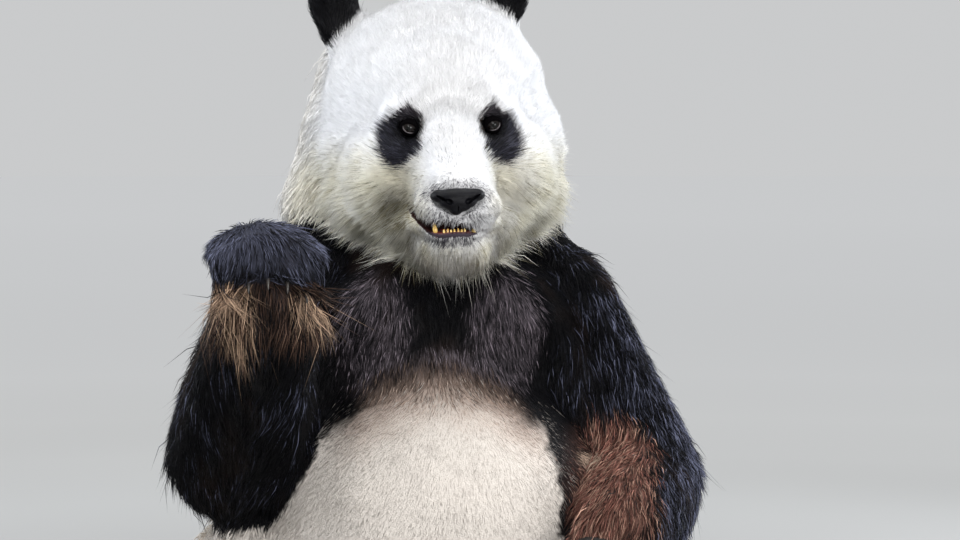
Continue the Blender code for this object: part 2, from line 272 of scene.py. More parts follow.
def wobble(points, size, seed):
    # a soft noise between about -1 and 1, with features of this size in metres
    dice = np.random.default_rng(seed)
    total = np.zeros(len(points))
    for k in range(6):
        direction = unit(dice.normal(size=3)) * dice.uniform(0.6, 1.5)
        total += np.sin(points @ direction * 2 * math.pi / size + dice.uniform(0, 6.3))
    return total / 3.2


# markings, for skin and coat alike

colours = {
    "snow": (0.80, 0.80, 0.81),  # forehead and bridge
    "cream": (0.84, 0.80, 0.66),  # cheeks and jaw
    "olive": (0.32, 0.285, 0.18),  # streaks in them
    "nape": (0.79, 0.765, 0.72),
    "belly": (0.60, 0.555, 0.510),
    "back": (0.70, 0.63, 0.54),
    "fleck": (0.16, 0.13, 0.12),
    "bristle": (0.085, 0.080, 0.095),  # short dark hairs round the nose and under the lip
    "black": (0.0028, 0.0028, 0.0042),
    "brown": (0.022, 0.013, 0.010),  # worn black
    "rust": (0.215, 0.096, 0.074),  # inside of the left forearm
    "russet": (0.400, 0.240, 0.180),
    "beige": (0.46, 0.34, 0.26),  # a pale tuft at its upper end
    "tan": (0.420, 0.290, 0.200),  # long hair under the raised paw
    "umber": (0.085, 0.050, 0.036),  # and the darker hair in it
    "steel": (0.105, 0.113, 0.168),  # painted sheen: pale bluish hairs in the black that stand for its highlights
    "ash": (0.225, 0.190, 0.220),  # faded hairs on the chest
    "edge": (0.150, 0.105, 0.084),  # where chest meets belly
    "fawn": (0.400, 0.310, 0.260),
    "patch": (0.0060, 0.0056, 0.0090),  # round the eyes
    "brow": (0.105, 0.095, 0.110),  # faded hairs above the eyes
    "sheen": (0.068, 0.068, 0.094),  # painted sheen on the hairs of the eye patches
    "lips": (0.080, 0.062, 0.080),
    "wet": (0.200, 0.090, 0.090),  # the lower lip's edge
    # the inside of the mouth: dark red, made near black as painted shade of its depth
    "mouth": (0.030, 0.007, 0.006),
    "lids": (0.0022, 0.0019, 0.0022),
    "rim": (0.270, 0.245, 0.255),  # the pale edge of the lower lid
}

lines = {
    "nape": 0.690,  # height at which white turns black behind
    "throat": 0.800,  # and in front, above which only the head is white
    "waistBack": 0.500,  # height at which black turns white behind, and in front from side to side
    "waist": ((-0.201, 0.396), (-0.142, 0.441), (-0.110, 0.461), (-0.075, 0.477), (-0.043, 0.487),
              (-0.016, 0.489), (0.015, 0.481), (0.045, 0.468), (0.076, 0.449), (0.102, 0.430)),
    # heights, and the belly's left edge there
    "elbow": ((0.300, 0.128), (0.348, 0.124), (0.385, 0.117), (0.430, 0.108)),
    "rust": ((0.197, -0.090, 0.404), (0.162, -0.225, 0.334)),  # the rusty stripe, and how far it spreads
    "rustSpread": (0.030, 0.075),
    "beige": (0.172, -0.092, 0.392),
    # each of these has a side and a height, and half sizes: first the lobes of tan hair round the raised wrist
    "tan": (((-0.040, 0.006), (0.028, 0.030)), ((-0.028, -0.034), (0.014, 0.030)),
            ((0.050, -0.004), (0.025, 0.024))),
    # faded places on the chest
    "ash": (((-0.112, 0.558), (0.055, 0.085)), ((0.068, 0.555), (0.050, 0.085)),
            ((-0.015, 0.505), (0.060, 0.030))),
    # a stain on the right cheek from the nose, and a faded place from each eye
    "stain": (((-0.072, -0.012), (0.026, 0.024)),),
    "brow": (((0, 0.020), (0.026, 0.012)),),
    # bristles above the mouth, on the bridge and under the lip: share, place and half sizes, and where they end
    "bristles": ((0.36, (0, -0.016), (0.040, 0.016), (0.7, 1.2)),
                 (0.05, (-0.01, 0.07), (1, 1 / 0.6), (0.010, 0.022)),
                 (0.75, (-0.006, -0.045), (0.030, 0.010), (0.6, 1.25))),
}

# the outline of the dark patch round each eye: outwards and up from the eye's middle
patchOutlines = {
    "eye_right": ((-0.003, 0.029), (-0.0175, 0.012), (-0.014, -0.010), (0.0016, -0.041), (0.020, -0.053),
                  (0.036, -0.034), (0.039, -0.014), (0.023, 0.014)),
    "eye_left": ((0.000, 0.029), (0.012, 0.0185), (0.031, -0.004), (0.035, -0.027), (0.022, -0.049),
                 (0.004, -0.050), (-0.0126, -0.019), (-0.017, 0.009)),
}
patchHeart = np.array((0.009, -0.012))


def polar(places):
    return np.arctan2(places[:, 1], places[:, 0]), np.hypot(places[:, 0], places[:, 1])


def eyePatches(points):
    # below one inside the patches
    deepest = np.full(len(points), 9.0)
    for name, sign in zip(eyeNames, (1, -1)):
        side, forward, height = inHead(points, middle(name))
        angle, reach = polar(np.stack((side * sign, height), 1) - patchHeart)
        edge = np.interp(angle, *polar(np.array(patchOutlines[name]) - patchHeart), period=2 * math.pi)
        deepest = np.where(forward > -0.06, np.minimum(deepest, reach / edge), deepest)
    return deepest


def ringOf(side, height, place, size):
    # one on the edge of an ellipse, and less inside
    return np.hypot((side - place[0]) / size[0], (height - place[1]) / size[1])


def lobes(side, height, shapes):
    # one in the middle of any of these ellipses, falling to nothing outside
    return falling(np.min([ringOf(side, height, *shape) for shape in shapes], axis=0), 0.6, 1.25)


# what the lobes of tan hair are placed from
wristHair = np.array(middle("pad_wrist_right")) + (0.008, 0.0, 0.013)


def tanHair(points):
    # how far and how high from there each place is, whether it is in front and below, and how deep in a lobe
    wrist = points - wristHair
    side, height = wrist @ np.array(across), wrist[:, 2]
    below = (height < 0.03) * (wrist[:, 1] < 0.06)
    return np.linalg.norm(wrist, axis=1), height, below, lobes(side, height, lines["tan"]) * below


def plain(name, count):
    return np.repeat(np.array(colours[name])[None], count, 0)


def paleness(colour):
    return rising(colour.mean(1), 0.05, 0.40)


def coatColour(points, parts, dice=None):
    # parts holds how far each point belongs to the ears, arms, paws, thighs and the rest
    count = len(points)
    ragged = dice.normal(0, 1, count) if dice is not None else np.zeros(count)
    odd = dice.random(count) if dice is not None else np.full(count, 0.5)
    x, y, z = points.T
    side, forward, height = inHead(points, eyeMid)
    noseSide, _, noseHeight = inHead(points, noseMid)
    onHeadPart, offHead = parts["head"] > 0.5, parts["head"] < 0.5

    def hairs(colour, shares):
        # this share of the hairs has the other colour, or the skin a mixture
        for name, share in shares:
            if dice is None:
                colour = mix(colour, colours[name], np.clip(share, 0, 1) * 0.8)
            else:
                other = np.array(colours[name]) * np.exp(0.25 * ragged)[:, None]
                colour = np.where((odd < share)[:, None], other, colour)
        return colour

    cheek = rising(-height, -0.005, 0.075) * rising(np.abs(side), 0.028, 0.065)
    jaw = rising(-height, 0.132, 0.160) * (0.45 + 0.55 * rising(np.abs(noseSide), 0.0, 0.05))
    cheek = np.clip(np.maximum(cheek, jaw) * (0.78 + 0.30 * wobble(points, 0.05, 3)), 0, 1)
    streak = cheek * rising(wobble(points, 0.018, 5) + 0.7 * wobble(points, 0.05, 6), -0.2, 1.2)
    face = hairs(mix(plain("snow", count), colours["cream"], cheek), (
        ("olive", streak * 0.42 + 0.16 * cheek * rising(-height, 0.10, 0.15)),
        ("olive", 0.6 * lobes(noseSide, noseHeight, lines["stain"]))))

    white = mix(face, colours["nape"], np.clip(0.3 * parts["neck"] + rising(-forward, 0.18, 0.28), 0, 1))
    trunk = mix(plain("belly", count), colours["back"], rising(y, 0.02, 0.16))
    own = parts["trunk"] + parts["chest"] + parts["thigh"] + parts["tail"] + parts["arm"]
    white = mix(white, trunk, np.clip(own, 0, 1) * offHead)
    arch = np.interp(x, *np.array(lines["waist"]).T)
    below = arch - z + 0.006 * wobble(points, 0.03, 13)
    upper = rising(-y, 0.0, 0.06) * (own > 0.5) * falling(np.abs(x + 0.02), 0.10, 0.16)
    white = hairs(white, (("fawn", 0.90 * falling(below, 0.0, 0.066) * upper),
                          ("edge", 0.50 * falling(below, 0.0, 0.034) * upper)))
    fleck = wobble(points, 0.018, 11) + 0.55 * wobble(points, 0.11, 12) + ragged * 0.3 > 1.15
    white = mix(white, colours["fleck"], (parts["trunk"] > 0.5) * fleck * 0.24)

    # the black parts: the band round the chest, the limbs and ears, and the patches
    wave = 0.005 * wobble(points, 0.05, 21) + ragged * (0.007 + 0.009 * rising(-y, 0.0, 0.06) * (z < 0.55))
    top = lines["nape"] + (lines["throat"] - lines["nape"]) * rising(-y, -0.05, 0.03)
    bottom = lines["waistBack"] + (arch - lines["waistBack"]) * rising(-y, -0.08, 0.04)
    band = (z + wave < top) & (z + wave > bottom)
    bandDepth = np.minimum(top - z, z - bottom)
    limb = parts["ear"] + parts["arm"] + parts["paw"] + parts["shin"]
    limb = limb + parts["thigh"] * rising(-y, 0.03, 0.13)
    limb = limb + parts["armpit"] * 2.2 * (z > 0.30) * offHead
    beyond = x + wave - np.interp(z, *np.array(lines["elbow"]).T)
    limb = limb + (beyond > 0) * (z > 0.28) * (z < 0.52) * (y < 0) * offHead
    inPatch = eyePatches(points)
    patch = onHeadPart & (inPatch + 0.09 * ragged + 0.04 * wobble(points, 0.012, 23) < 1)
    black = (band & ~onHeadPart) | (limb + 0.12 * ragged > 0.5) | patch

    worn = rising(wobble(points, 0.16, 31) + 0.4 * wobble(points, 0.04, 32), 0.3, 1.3)
    dark = mix(plain("black", count), colours["brown"], worn * 0.6 * (1 - parts["ear"]))
    cloud = wobble(points, 0.09, 35)
    # painted sheen: a share of pale bluish hairs on top of the raised paw, a few over the arms, and more along
    # the left arm's outer edge, where the highlights fall
    sheenShare = parts["paw"] * rising(z, 0.60, 0.68) * (0.66 + 0.20 * cloud)
    sheenShare = parts["arm"] * (0.05 + 0.09 * cloud) + sheenShare
    outer = rising(x, 0.17, 0.25) * falling(z, 0.58, 0.66) * (0.30 + 0.25 * rising(x, 0.26, 0.31))
    sheenShare = np.maximum(sheenShare, parts["arm"] * (outer + 0.15 * cloud * (outer > 0)))
    chest = np.clip(parts["chest"] + parts["trunk"], 0, 1) * rising(-y, -0.02, 0.04)
    fadeAndSheen = chest * lobes(x, z, lines["ash"]) * (0.75 + 0.25 * wobble(points, 0.035, 33))
    seam = chest * falling(bandDepth, 0.006, 0.044) * (z < 0.6)
    seam = seam * falling(np.abs(x + 0.015), 0.075, 0.120)

    # the rusty stripe on the left forearm, and its pale tuft
    first, last = (np.array(v) for v in lines["rust"])
    share = np.clip(dot(points - first, last - first) / dot(last - first, last - first), 0, 1)
    apart = np.linalg.norm(points - first - share[:, None] * (last - first), axis=1)
    rusty = falling(apart, *lines["rustSpread"]) * (1 - parts["chest"]) * (1 - 0.75 * parts["trunk"])
    tuft = falling(apartFrom(points, lines["beige"]), 0.010, 0.026)

    # tan hair hangs in lobes round the raised wrist's pad
    away, over, beneath, lobe = tanHair(points)
    around = falling(away, 0.085, 0.115) * beneath
    lobe = around * lobe
    dark = hairs(dark, (
        ("steel", sheenShare), ("ash", fadeAndSheen * 0.55),
        ("edge", seam * 0.9), ("fawn", seam * 0.5 * falling(bandDepth, 0.0, 0.022)),
        ("rust", rusty * 0.85), ("russet", rusty * 0.28), ("beige", 0.7 * tuft),
        ("umber", np.maximum(around * 0.55 * (over > -0.05), lobe * 0.9)), ("tan", lobe * 0.62)))
    # the eye patches: darker close to the eye, and a painted sheen on their hairs that grows away from it
    fadeAndSheen = rising(fromNearestEye(points), 0.013, 0.034)
    dark = mix(dark, np.array(colours["patch"]) * (0.35 + 0.9 * fadeAndSheen)[:, None], patch)
    dark = hairs(dark, (
        ("umber", 0.40 * rising(inPatch, 0.70, 1.0) * patch), ("sheen", 0.28 * fadeAndSheen * patch),
        ("brow", 0.40 * lobes(np.abs(side) - 0.052, height, lines["brow"]) * patch)))

    # short dark hairs round the nose, above the mouth and under the lip, and a few on the bridge
    above = ringOf(noseSide, noseHeight, (0, 0.006), (0.040, 0.022))
    speck = 0.52 * falling(above, 0.85, 1.40) * (0.55 + 0.45 * rising(noseHeight, 0.004, 0.014))
    for most, place, size, ends in lines["bristles"]:
        speck = np.maximum(speck, most * falling(ringOf(noseSide, noseHeight, place, size), *ends))
    return hairs(mix(white, dark, black), (("bristle", speck * (forward > 0.02)),))


# the skin

skinPlan = {
    "voxel": 0.0055, "overlap": 0.0012, "smoothing": 5, "toothHeight": 0.0125,
    "lips": (((0, -0.052, -0.022), (0.048, 0.042, 0.022)), ((0, -0.078, -0.024), (0.060, 0.045, 0.022))),
    "fine": 0.13,  # how far round the face the mesh is finer
    "finest": {"mouth": 0.062, "eye": 0.026},
    "thinned": 0.60,  # share of the faces that is kept, once the coat covers the body
    "sampled": 4e-5,  # area round each place by which a point of the skin finds its solid
}
notFlesh = ("eye_", "nose", "claw_", "pad_")
fleshNodes = sorted(n for n in frame["nodes"] if not n.startswith(notFlesh))

# for each part: how long its coat is, how deep the skin lies under the tips (metres),
# how far the tufts stand up (degrees), how wide one is, and how closely they stand
coatItems = ("length", "depth", "lift", "width", "close")
coatPlan = {
    "head": (0.022, 0.008, 16, 0.0010, 2.2),
    "lower_jaw": (0.012, 0.004, 20, 0.0010, 2.2),
    "ear": (0.015, 0.0035, 22, 0.0011, 1.8),
    "neck": (0.034, 0.009, 22, 0.0014, 1.0),
    "chest": (0.025, 0.007, 18, 0.0010, 1.1),
    "abdomen": (0.015, 0.004, 6, 0.00090, 1.0),
    "tail": (0.044, 0.013, 26, 0.0022, 1.3),
    "upper_arm": (0.038, 0.010, 20, 0.0013, 1.0),
    "forearm": (0.038, 0.010, 20, 0.0013, 1.0),
    "paw_fore": (0.023, 0.005, 13, 0.0011, 1.3),
    "thigh": (0.034, 0.009, 19, 0.0021, 0.8),
    "shin": (0.034, 0.008, 20, 0.0019, 0.8),
    "paw_hind": (0.018, 0.004, 16, 0.0013, 1.0),
}

# on the head the coat grows longer away from the nose, and longest in the ruff below the cheeks
faceGrowth = {
    "away": (0.025, 0.050, 0.085, 0.120, 0.170, 0.230, 0.300),
    "length": (0.0045, 0.0065, 0.0105, 0.0150, 0.0200, 0.0240, 0.0250),
    "depth": (0.0012, 0.0017, 0.0029, 0.0046, 0.0065, 0.0075, 0.0080),
    "lift": (36, 34, 28, 22, 18, 18, 18),
    "ruff": 0.75,  # how much longer in the ruff
    "chin": 1.10,
}


def makeSkin():
    copies = []
    for name in fleshNodes:
        piece = copyOfNode(name)
        if name == "lower_jaw":  # the teeth come off, and are made apart
            cut = (0, 0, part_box(name)[1].z - skinPlan["toothHeight"])
            startEdit(piece)
            bpy.ops.mesh.bisect(plane_co=cut, plane_no=(0, 0, 1), use_fill=True, clear_outer=True)
            endEdit()
        copies.append(piece)
    for place, sizes in skinPlan["lips"]:  # fills the gap between the jaws, which is opened again later
        copies.append(addMass(noseMid, place, sizes))
    skin = joinAll(copies, "skin")
    modify(skin, "DISPLACE", strength=skinPlan["overlap"], mid_level=0)
    modify(skin, "REMESH", mode="VOXEL", voxel_size=skinPlan["voxel"])
    modify(skin, "SMOOTH", factor=0.5, iterations=skinPlan["smoothing"])
    top = readPoints(skin.data)[:, 2].argmax()
    startChosen(skin, "VERT", "vertices", np.arange(len(skin.data.vertices)) == top)
    bpy.ops.mesh.select_linked()  # whatever isn't joined to the topmost point goes
    bpy.ops.mesh.select_all(action="INVERT")
    bpy.ops.mesh.delete(type="VERT")
    endEdit()
    return skin


def startChosen(piece, kind, what, chosen):
    # starts an edit of the chosen points or faces
    startEdit(piece, "DESELECT")
    bpy.ops.mesh.select_mode(type=kind)
    endEdit()
    getattr(piece.data, what).foreach_set("select", chosen)
    bpy.ops.object.mode_set(mode="EDIT")


def refine(skin, places, reach):
    # finer faces within reach of these places, on the front of the head
    away = np.min([apartFrom(readPoints(skin.data, "polygons", "center"), place) for place in places], axis=0)
    facing = readPoints(skin.data, "polygons", "normal") @ np.array(ahead)
    startChosen(skin, "FACE", "polygons", (away < reach) & (facing > -0.3))
    bpy.ops.mesh.subdivide(number_cuts=1, smoothness=1)
    endEdit()


def partOf(name):
    return max((key for key in coatPlan if name.startswith(key)), key=len)


def nearestNodes(points):
    # which solid each point of the skin belongs to
    tree, labels, dice = [], [], np.random.default_rng(1)
    for rank, name in enumerate(fleshNodes):
        mesh = frame["nodes"][name].data
        places = readPoints(mesh)[trianglesOf(mesh)]
        area = areaOf(places)
        tree.append(blendOf(places, *scatter(area, area, int(area.sum() / skinPlan["sampled"]), dice)))
        labels += [rank] * len(tree[-1])
    return np.array(labels)[nearestIn(indexOf(np.concatenate(tree)), points)]


def scatter(area, weight, count, dice):
    # about this many places, evenly: the triangle of each, and its shares of the corners
    wanted = count * weight / weight.sum()
    number = np.floor(wanted + dice.random(len(area))).astype(int)
    chosen = np.repeat(np.arange(len(area)), number)
    a, b = dice.random((2, len(chosen)))
    over = a + b > 1
    a, b = np.where(over, 1 - a, a), np.where(over, 1 - b, b)
    return chosen, np.stack((1 - a - b, a, b), 1)


def blendOf(corners, chosen, shares):
    values = corners[chosen]
    if values.ndim == 2:
        return (values * shares).sum(1)
    return (values * shares[..., None]).sum(1)


def relax(values, edges, rounds):
    # evens a value out over the skin
    values = np.array(values, float)
    flat = values.reshape(len(values), -1)
    ends = np.concatenate((edges[:, 0], edges[:, 1]))
    others = np.concatenate((edges[:, 1], edges[:, 0]))
    count = np.bincount(ends, minlength=len(flat))[:, None] + 1.0
    for _ in range(rounds):
        total = np.stack([np.bincount(ends, flat[others, k], len(flat)) for k in range(flat.shape[1])], 1)
        flat = (total + flat) / count
    return flat.reshape(values.shape)


# how far the hair of the trunk leans out to the sides, and back and down
trunkWays = {
    "neck": (1.5, (0, 0.25, -0.8)), "chest": (2.2, (0, 0, -1)),
    "abdomen": (2.6, (0, 0.15, -0.9)), "tail": (2.6, (0, 0.15, -0.9)),
}


def lieOfCoat(points, names):
    # the way the hair points on each part, before it is laid on the skin
    way = np.zeros_like(points)
    down = np.array((0, 0, -0.45))
    for name in fleshNodes:
        here = names == name
        if not here.any():
            continue
        spots, part = points[here], partOf(name)
        low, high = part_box(name)
        if part in ("head", "lower_jaw"):
            lie = unit(spots - np.array(onHead(0, -0.030, 0.010, noseMid)))
            lie = lie + rising(-inHead(spots, eyeMid)[2], -0.02, 0.09)[:, None] * down
        elif name == "paw_fore_right":  # falls all round from the top of the closed paw
            lie = unit(spots - np.array(((low.x + high.x) / 2 - 0.02, high.y - 0.03, high.z - 0.005))) + down
        elif part == "ear":
            lie = spots - np.array(((low.x + high.x) / 2, (low.y + high.y) / 2, low.z - 0.01))
        elif part in trunkWays:
            spread, fall = trunkWays[part]
            lie = spots * (spread, 0, 0) + fall
        else:
            lie = np.array(limbWays[name])[None] * np.ones((len(spots), 1))
        way[here] = unit(lie)
    return way


def along(first, second, droop):
    # the way a length of limb is combed, from the middle of one solid to the next
    return (middle(second) - middle(first)).normalized() + Vector((0, 0, -droop))


limbWays = {}
for word in ("left", "right"):
    for first, second, droop in (("upper_arm_", "forearm_", 0.25), ("forearm_", "paw_fore_", 0.9),
                                 ("thigh_", "shin_", 0.25), ("shin_", "paw_hind_", 0.4)):
        limbWays[first + word] = along(first + word, second + word, droop)
    limbWays["paw_hind_" + word] = Vector((0, -0.15, 1))
limbWays["upper_arm_right"] = Vector((-0.25, -0.30, -1))
limbWays["forearm_right"] = Vector((-0.12, -0.10, -1))
limbWays["paw_fore_left"] = along("paw_fore_left", "claw_fore_left_3", 0.1)

print("skin: one body from", len(fleshNodes), "solids")
skin = makeSkin()
refine(skin, [onHead(0, 0, -0.045)], skinPlan["fine"])
refine(skin, [onHead(0, -0.035, -0.028, noseMid)], skinPlan["finest"]["mouth"])
refine(skin, [middle(name) for name in eyeNames], skinPlan["finest"]["eye"])
mesh = skin.data
points = readPoints(mesh)
edges = readMesh(mesh.edges, "vertices", 2, np.int32)
labels = nearestNodes(points)
print("skin:", len(points), "points")

names = np.array(fleshNodes)[labels]
keys = np.array([partOf(n) for n in fleshNodes])[labels]
coatAt = {item: np.array([coatPlan[k][n] for k in keys]) for n, item in enumerate(coatItems)}
fromNose, fromEye = apartFrom(points, noseMid), fromNearestEye(points)
isHead = (keys == "head") | (keys == "lower_jaw")
for item in ("length", "depth", "lift"):
    coatAt[item] = np.where(isHead, np.interp(fromNose, faceGrowth["away"], faceGrowth[item]), coatAt[item])
coatAt["length"] *= np.where(isHead, 0.45 + 0.55 * rising(fromEye, 0.010, 0.040), 1)
whiskers = isHead * rising(-inHead(points, noseMid)[2], -0.002, 0.010) * falling(fromNose, 0.055, 0.080)
coatAt["length"] += 0.0040 * whiskers
coatAt["lift"] += 6 * whiskers
coatAt["length"] *= np.where(isHead & (fromEye > 0.016) & (eyePatches(points) < 1.1), 1.30, 1)
coatAt["close"] *= np.where(isHead & (fromNose < 0.2), 1.3, 1)
aside, _, above = inHead(points, eyeMid)
ruff = np.where(isHead, rising(-above, 0.01, 0.11) * rising(fromNose, 0.085, 0.150), 0)
chin = np.where(isHead, rising(-above, 0.140, 0.170) * rising(fromNose, 0.045, 0.080), 0)
coatAt["length"] *= 1 + faceGrowth["ruff"] * ruff + faceGrowth["chin"] * chin
coatAt["lift"] += 7 * ruff + 6 * chin
brow = rising(above, -0.090, -0.060) * falling(np.abs(aside), 0.030, 0.050)
brow = isHead * np.maximum(rising(above, -0.030, 0.020) * rising(fromNose, 0.03, 0.06), brow)
coatAt["lift"] *= 1 - 0.35 * brow
coatAt["wisp"] = 0.03 + 0.11 * ruff + 0.20 * chin - 0.03 * (isHead & (ruff < 0.1) & (chin < 0.1))
behindBody = (keys == "abdomen") * rising(points[:, 1], 0.0, 0.06)
coatAt["width"] *= 1 + 1.4 * behindBody
coatAt["length"] *= 1 + 1.5 * behindBody
coatAt["lift"] += 9 * behindBody
coatAt["depth"] += 0.004 * behindBody
coatAt["lock"] = np.where(keys == "abdomen", 0.35 + 0.65 * behindBody, 1)
coatAt["lock"] *= np.where(isHead, 1 - 0.7 * brow, 1)
coatAt["lie"] = lieOfCoat(points, names)
coatAt = {item: relax(values, edges, 10) for item, values in coatAt.items()}

# the raised wrist carries a fringe of long hair, and the chest is shorter towards the belly
away, _, _, lobe = tanHair(points)
fringe = relax(lobe * (away < 0.1), edges, 3)
coatAt["length"] *= 1 + 0.75 * fringe
coatAt["wisp"] *= 1 - fringe
low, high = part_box("paw_fore_right")
underPaw = (names == "paw_fore_right") * falling(points[:, 2], low.z + 0.02, low.z + 0.06)
inwards = rising(inHead(points, middle("paw_fore_right"))[0], 0.005, 0.035)
coatAt["length"] *= 1 + (1.2 + 0.9 * inwards) * underPaw
coatAt["wisp"] += 0.05 * underPaw
coatAt["lift"] += 9 * underPaw
coatAt["lift"] += 10 * fringe
shorter = (keys == "chest") * falling(points[:, 2], 0.50, 0.60) * (points[:, 1] < 0.0)
coatAt["length"] *= 1 - 0.35 * relax(shorter, edges, 4)

groups = {"head": ("head", "lower_jaw"), "trunk": ("abdomen",), "arm": ("upper_arm", "forearm"),
          "paw": ("paw_fore", "paw_hind")}
groups.update({item: (item,) for item in ("ear", "neck", "chest", "tail", "thigh", "shin")})
parts = {item: relax(np.isin(keys, members), edges, 3) for item, members in groups.items()}
parts["armpit"] = relax(np.isin(keys, groups["arm"]), edges, 26)


def evenOut(where, rounds, blur):
    return points + (relax(points, edges, rounds) - points) * relax(where, edges, blur)[:, None]


# the skin goes in by the depth of the coat, and the seams between the body's parts are evened out
normals = readPoints(mesh, "vertex_normals", "vector")
points = relax(points - normals * coatAt["depth"][:, None], edges, 2)
evenness = {"neck": 1, "chest": 1, "abdomen": 1, "thigh": 1, "upper_arm": 1,
            "forearm": 0.6, "shin": 0.5, "tail": 0.3}
even = np.array([evenness.get(k, 0) for k in keys])
points = evenOut(np.where(isHead, rising(-inHead(points, eyeMid)[1], 0.12, 0.20), even), 30, 8)

# hollows in which the eyes lie
sockets = {"wide": 0.0104, "tall": 0.0090, "deep": 0.010, "brow": 0.0030}
for name in eyeNames:
    side, forward, height = inHead(points, middle(name))
    ring = np.sqrt((side / sockets["wide"]) ** 2 + (height / sockets["tall"]) ** 2)
    sink = sockets["deep"] * falling(ring, 0.75, 1.35) + sockets["brow"] * falling(ring, 1.2, 3.2)
    points = points - np.where((forward > -0.03) & (ring < 4), sink, 0)[:, None] * np.array(ahead)

# the mouth: heights of its two edges from the nose's middle, and how far the bare lower lip reaches down
mouthShape = {
    "side": (-0.058, -0.052, -0.045, -0.035, -0.024, -0.005, 0.014, 0.0225, 0.0420),
    "upper": (0.0045, -0.002, -0.0105, -0.0180, -0.0212, -0.0225, -0.0255, -0.0310, -0.0340),
    "lower": (0.0005, -0.0130, -0.0240, -0.0328, -0.0358, -0.0345, -0.0352, -0.0356, -0.0342),
    "lip": (0.000, 0.0000, 0.0006, 0.0024, 0.0042, 0.0046, 0.0040, 0.0018, 0.0000),
    "deep": 0.022,
    "pout": 0.0018,
}
mouthHeart = np.array(onHead(0, -0.090, -0.028, noseMid))


def mouthLine(side, line):
    # the height of one of the mouth's lines, rounded at its corners
    return np.mean([np.interp(side + apart / 1000, mouthShape["side"], mouthShape[line])
                    for apart in range(-5, 6)], axis=0)


def mouthAt(places):
    # how far inside the opening each place is, how far below its lower edge, and the lip's reach there
    side, forward, height = inHead(places, noseMid)
    upper, lower, lip = (mouthLine(side, k) for k in ("upper", "lower", "lip"))
    inside = np.minimum(np.minimum(upper - height, height - lower), (0.044 - np.abs(side + 0.008)) * 0.5)
    front = (forward > -0.10) & (height > -0.08) & (height < 0.02)
    return np.where(front, inside, -1.0), np.where(front, lower - height, -1.0), lip


# the crease between chin and cheeks is filled
side, forward, height = inHead(points, noseMid)
crease = rising(-height, 0.040, 0.060) * (forward > -0.14) * falling(np.abs(side), 0.075, 0.110) * isHead
points = evenOut(crease, 70, 6)

inMouth, underLip, lipReach = mouthAt(points)
overMouth = np.exp(-((inMouth + 0.002) / 0.004) ** 2) * (underLip < -0.004)
coatAt["length"] = coatAt["length"] + 0.0035 * overMouth * isHead
onLip = rising(underLip, 0.0, 0.003) * falling(underLip, lipReach * 0.8, lipReach + 0.004)
points = points + unit(points - mouthHeart) * (onLip * (lipReach > 0.002) * mouthShape["pout"])[:, None]
points = points - unit(points - mouthHeart) * (mouthShape["deep"] * rising(inMouth, -0.0008, 0.0030))[:, None]

writePoints(mesh, points)
mesh.update()
normals = readPoints(mesh, "vertex_normals", "vector")
coatAt["lie"] = unit(coatAt["lie"] - normals * dot(coatAt["lie"], normals)[:, None])

# bare places

nosePlan = {
    "voxel": 0.0011,
    "masses": (  # side, forward, height, then half sizes; the wings are mirrored
        ((0, -0.0005, 0.0125), (0.0300, 0.0155, 0.0085)),
        ((0, 0.0012, 0.0045), (0.0245, 0.0150, 0.0112)),
        ((0, 0.0008, -0.0010), (0.0155, 0.0138, 0.0085)),
        ((-0.0030, 0.0005, -0.0048), (0.0085, 0.0125, 0.0082)),
        ((0.0215, -0.0030, 0.0115), (0.0130, 0.0135, 0.0082)),
    ),
    "nostrils": (  # like commas, with their tails outwards, and how they lean
        ((0.0125, 0.0150, 0.0045), (0.0056, 0.0090, 0.0040), -25),
        ((0.0205, 0.0110, 0.0085), (0.0088, 0.0085, 0.0021), -30),
    ),
    "groove": ((-0.0010, 0.0150, -0.0080), (0.0009, 0.0050, 0.0075)),
}
padPlan = {
    # share of a pad without hair, and of these pads
    "bare": 0.95, "pad_fore_left": 0.50, "pad_wrist_left": 0.30, "pad_wrist_right": 0.85,
    "shrink": 0.0015,
    "deeper": {"fore_left": 0.012, "fore_right": 0.004, "hind_left": 0.0045, "hind_right": 0.0045},
}
barePlan = {
    "eye": (0.0098, 0.0078),  # half sizes of the place without hair
    "nose": (0.93, 0.90),  # beside the leather's width and height
    "front": -0.03,
    "floor": 0.012,  # what is lower than this carries no hair
}


def bareness(places):
    # one where no hair grows: nose, eyes, lips, pads and what lies on the floor
    bare = ((inMouth > -0.0006) | ((underLip > 0) & (underLip < lipReach))).astype(float)
    for name in eyeNames:
        side, forward, height = inHead(places, middle(name))
        inside = ringOf(side, height, (0, 0), barePlan["eye"]) < 1
        bare = np.maximum(bare, inside & (forward > barePlan["front"]))
    for name in [n for n in frame["nodes"] if n.startswith("pad_")]:
        low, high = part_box(name)
        half = np.array(high - low) / 2 * padPlan.get(name, padPlan["bare"])
        bare = np.maximum(bare, np.linalg.norm((places - np.array(middle(name))) / half, axis=1) < 1)
    side, forward, height = inHead(places, noseMid)
    for place, sizes in nosePlan["masses"]:
        room = sizes[0] * barePlan["nose"][0], sizes[2] * barePlan["nose"][1]
        inside = ringOf(np.abs(side), height, (abs(place[0]), place[2]), room) < 1
        bare = np.maximum(bare, inside & (forward > barePlan["front"]))
    return np.maximum(bare, places[:, 2] < barePlan["floor"])


bare = bareness(points)
skinColour = coatColour(points, parts)
lipsEdge = np.where(inHead(points, noseMid)[0] < -0.036, -0.0030, -0.0010)
for name, where in (
    ("lips", (underLip > 0) & (underLip < lipReach + 0.002) & (lipReach > 0.0015)),
    ("mouth", (inMouth > lipsEdge) & (inMouth < 0.002)),
    ("wet", (np.abs(underLip + 0.0003) < 0.0012) & (lipReach > 0.003)),
    ("mouth", inMouth > 0.0012),
    ("lids", fromNearestEye(points) < 0.014),
):
    skinColour = mix(skinColour, colours[name], where)
# painted shade: the skin is darker than the coat over it, most under dark coat, for the shade between the tufts
skinColour = skinColour * (0.62 + 0.36 * paleness(skinColour))[:, None]

# the coat

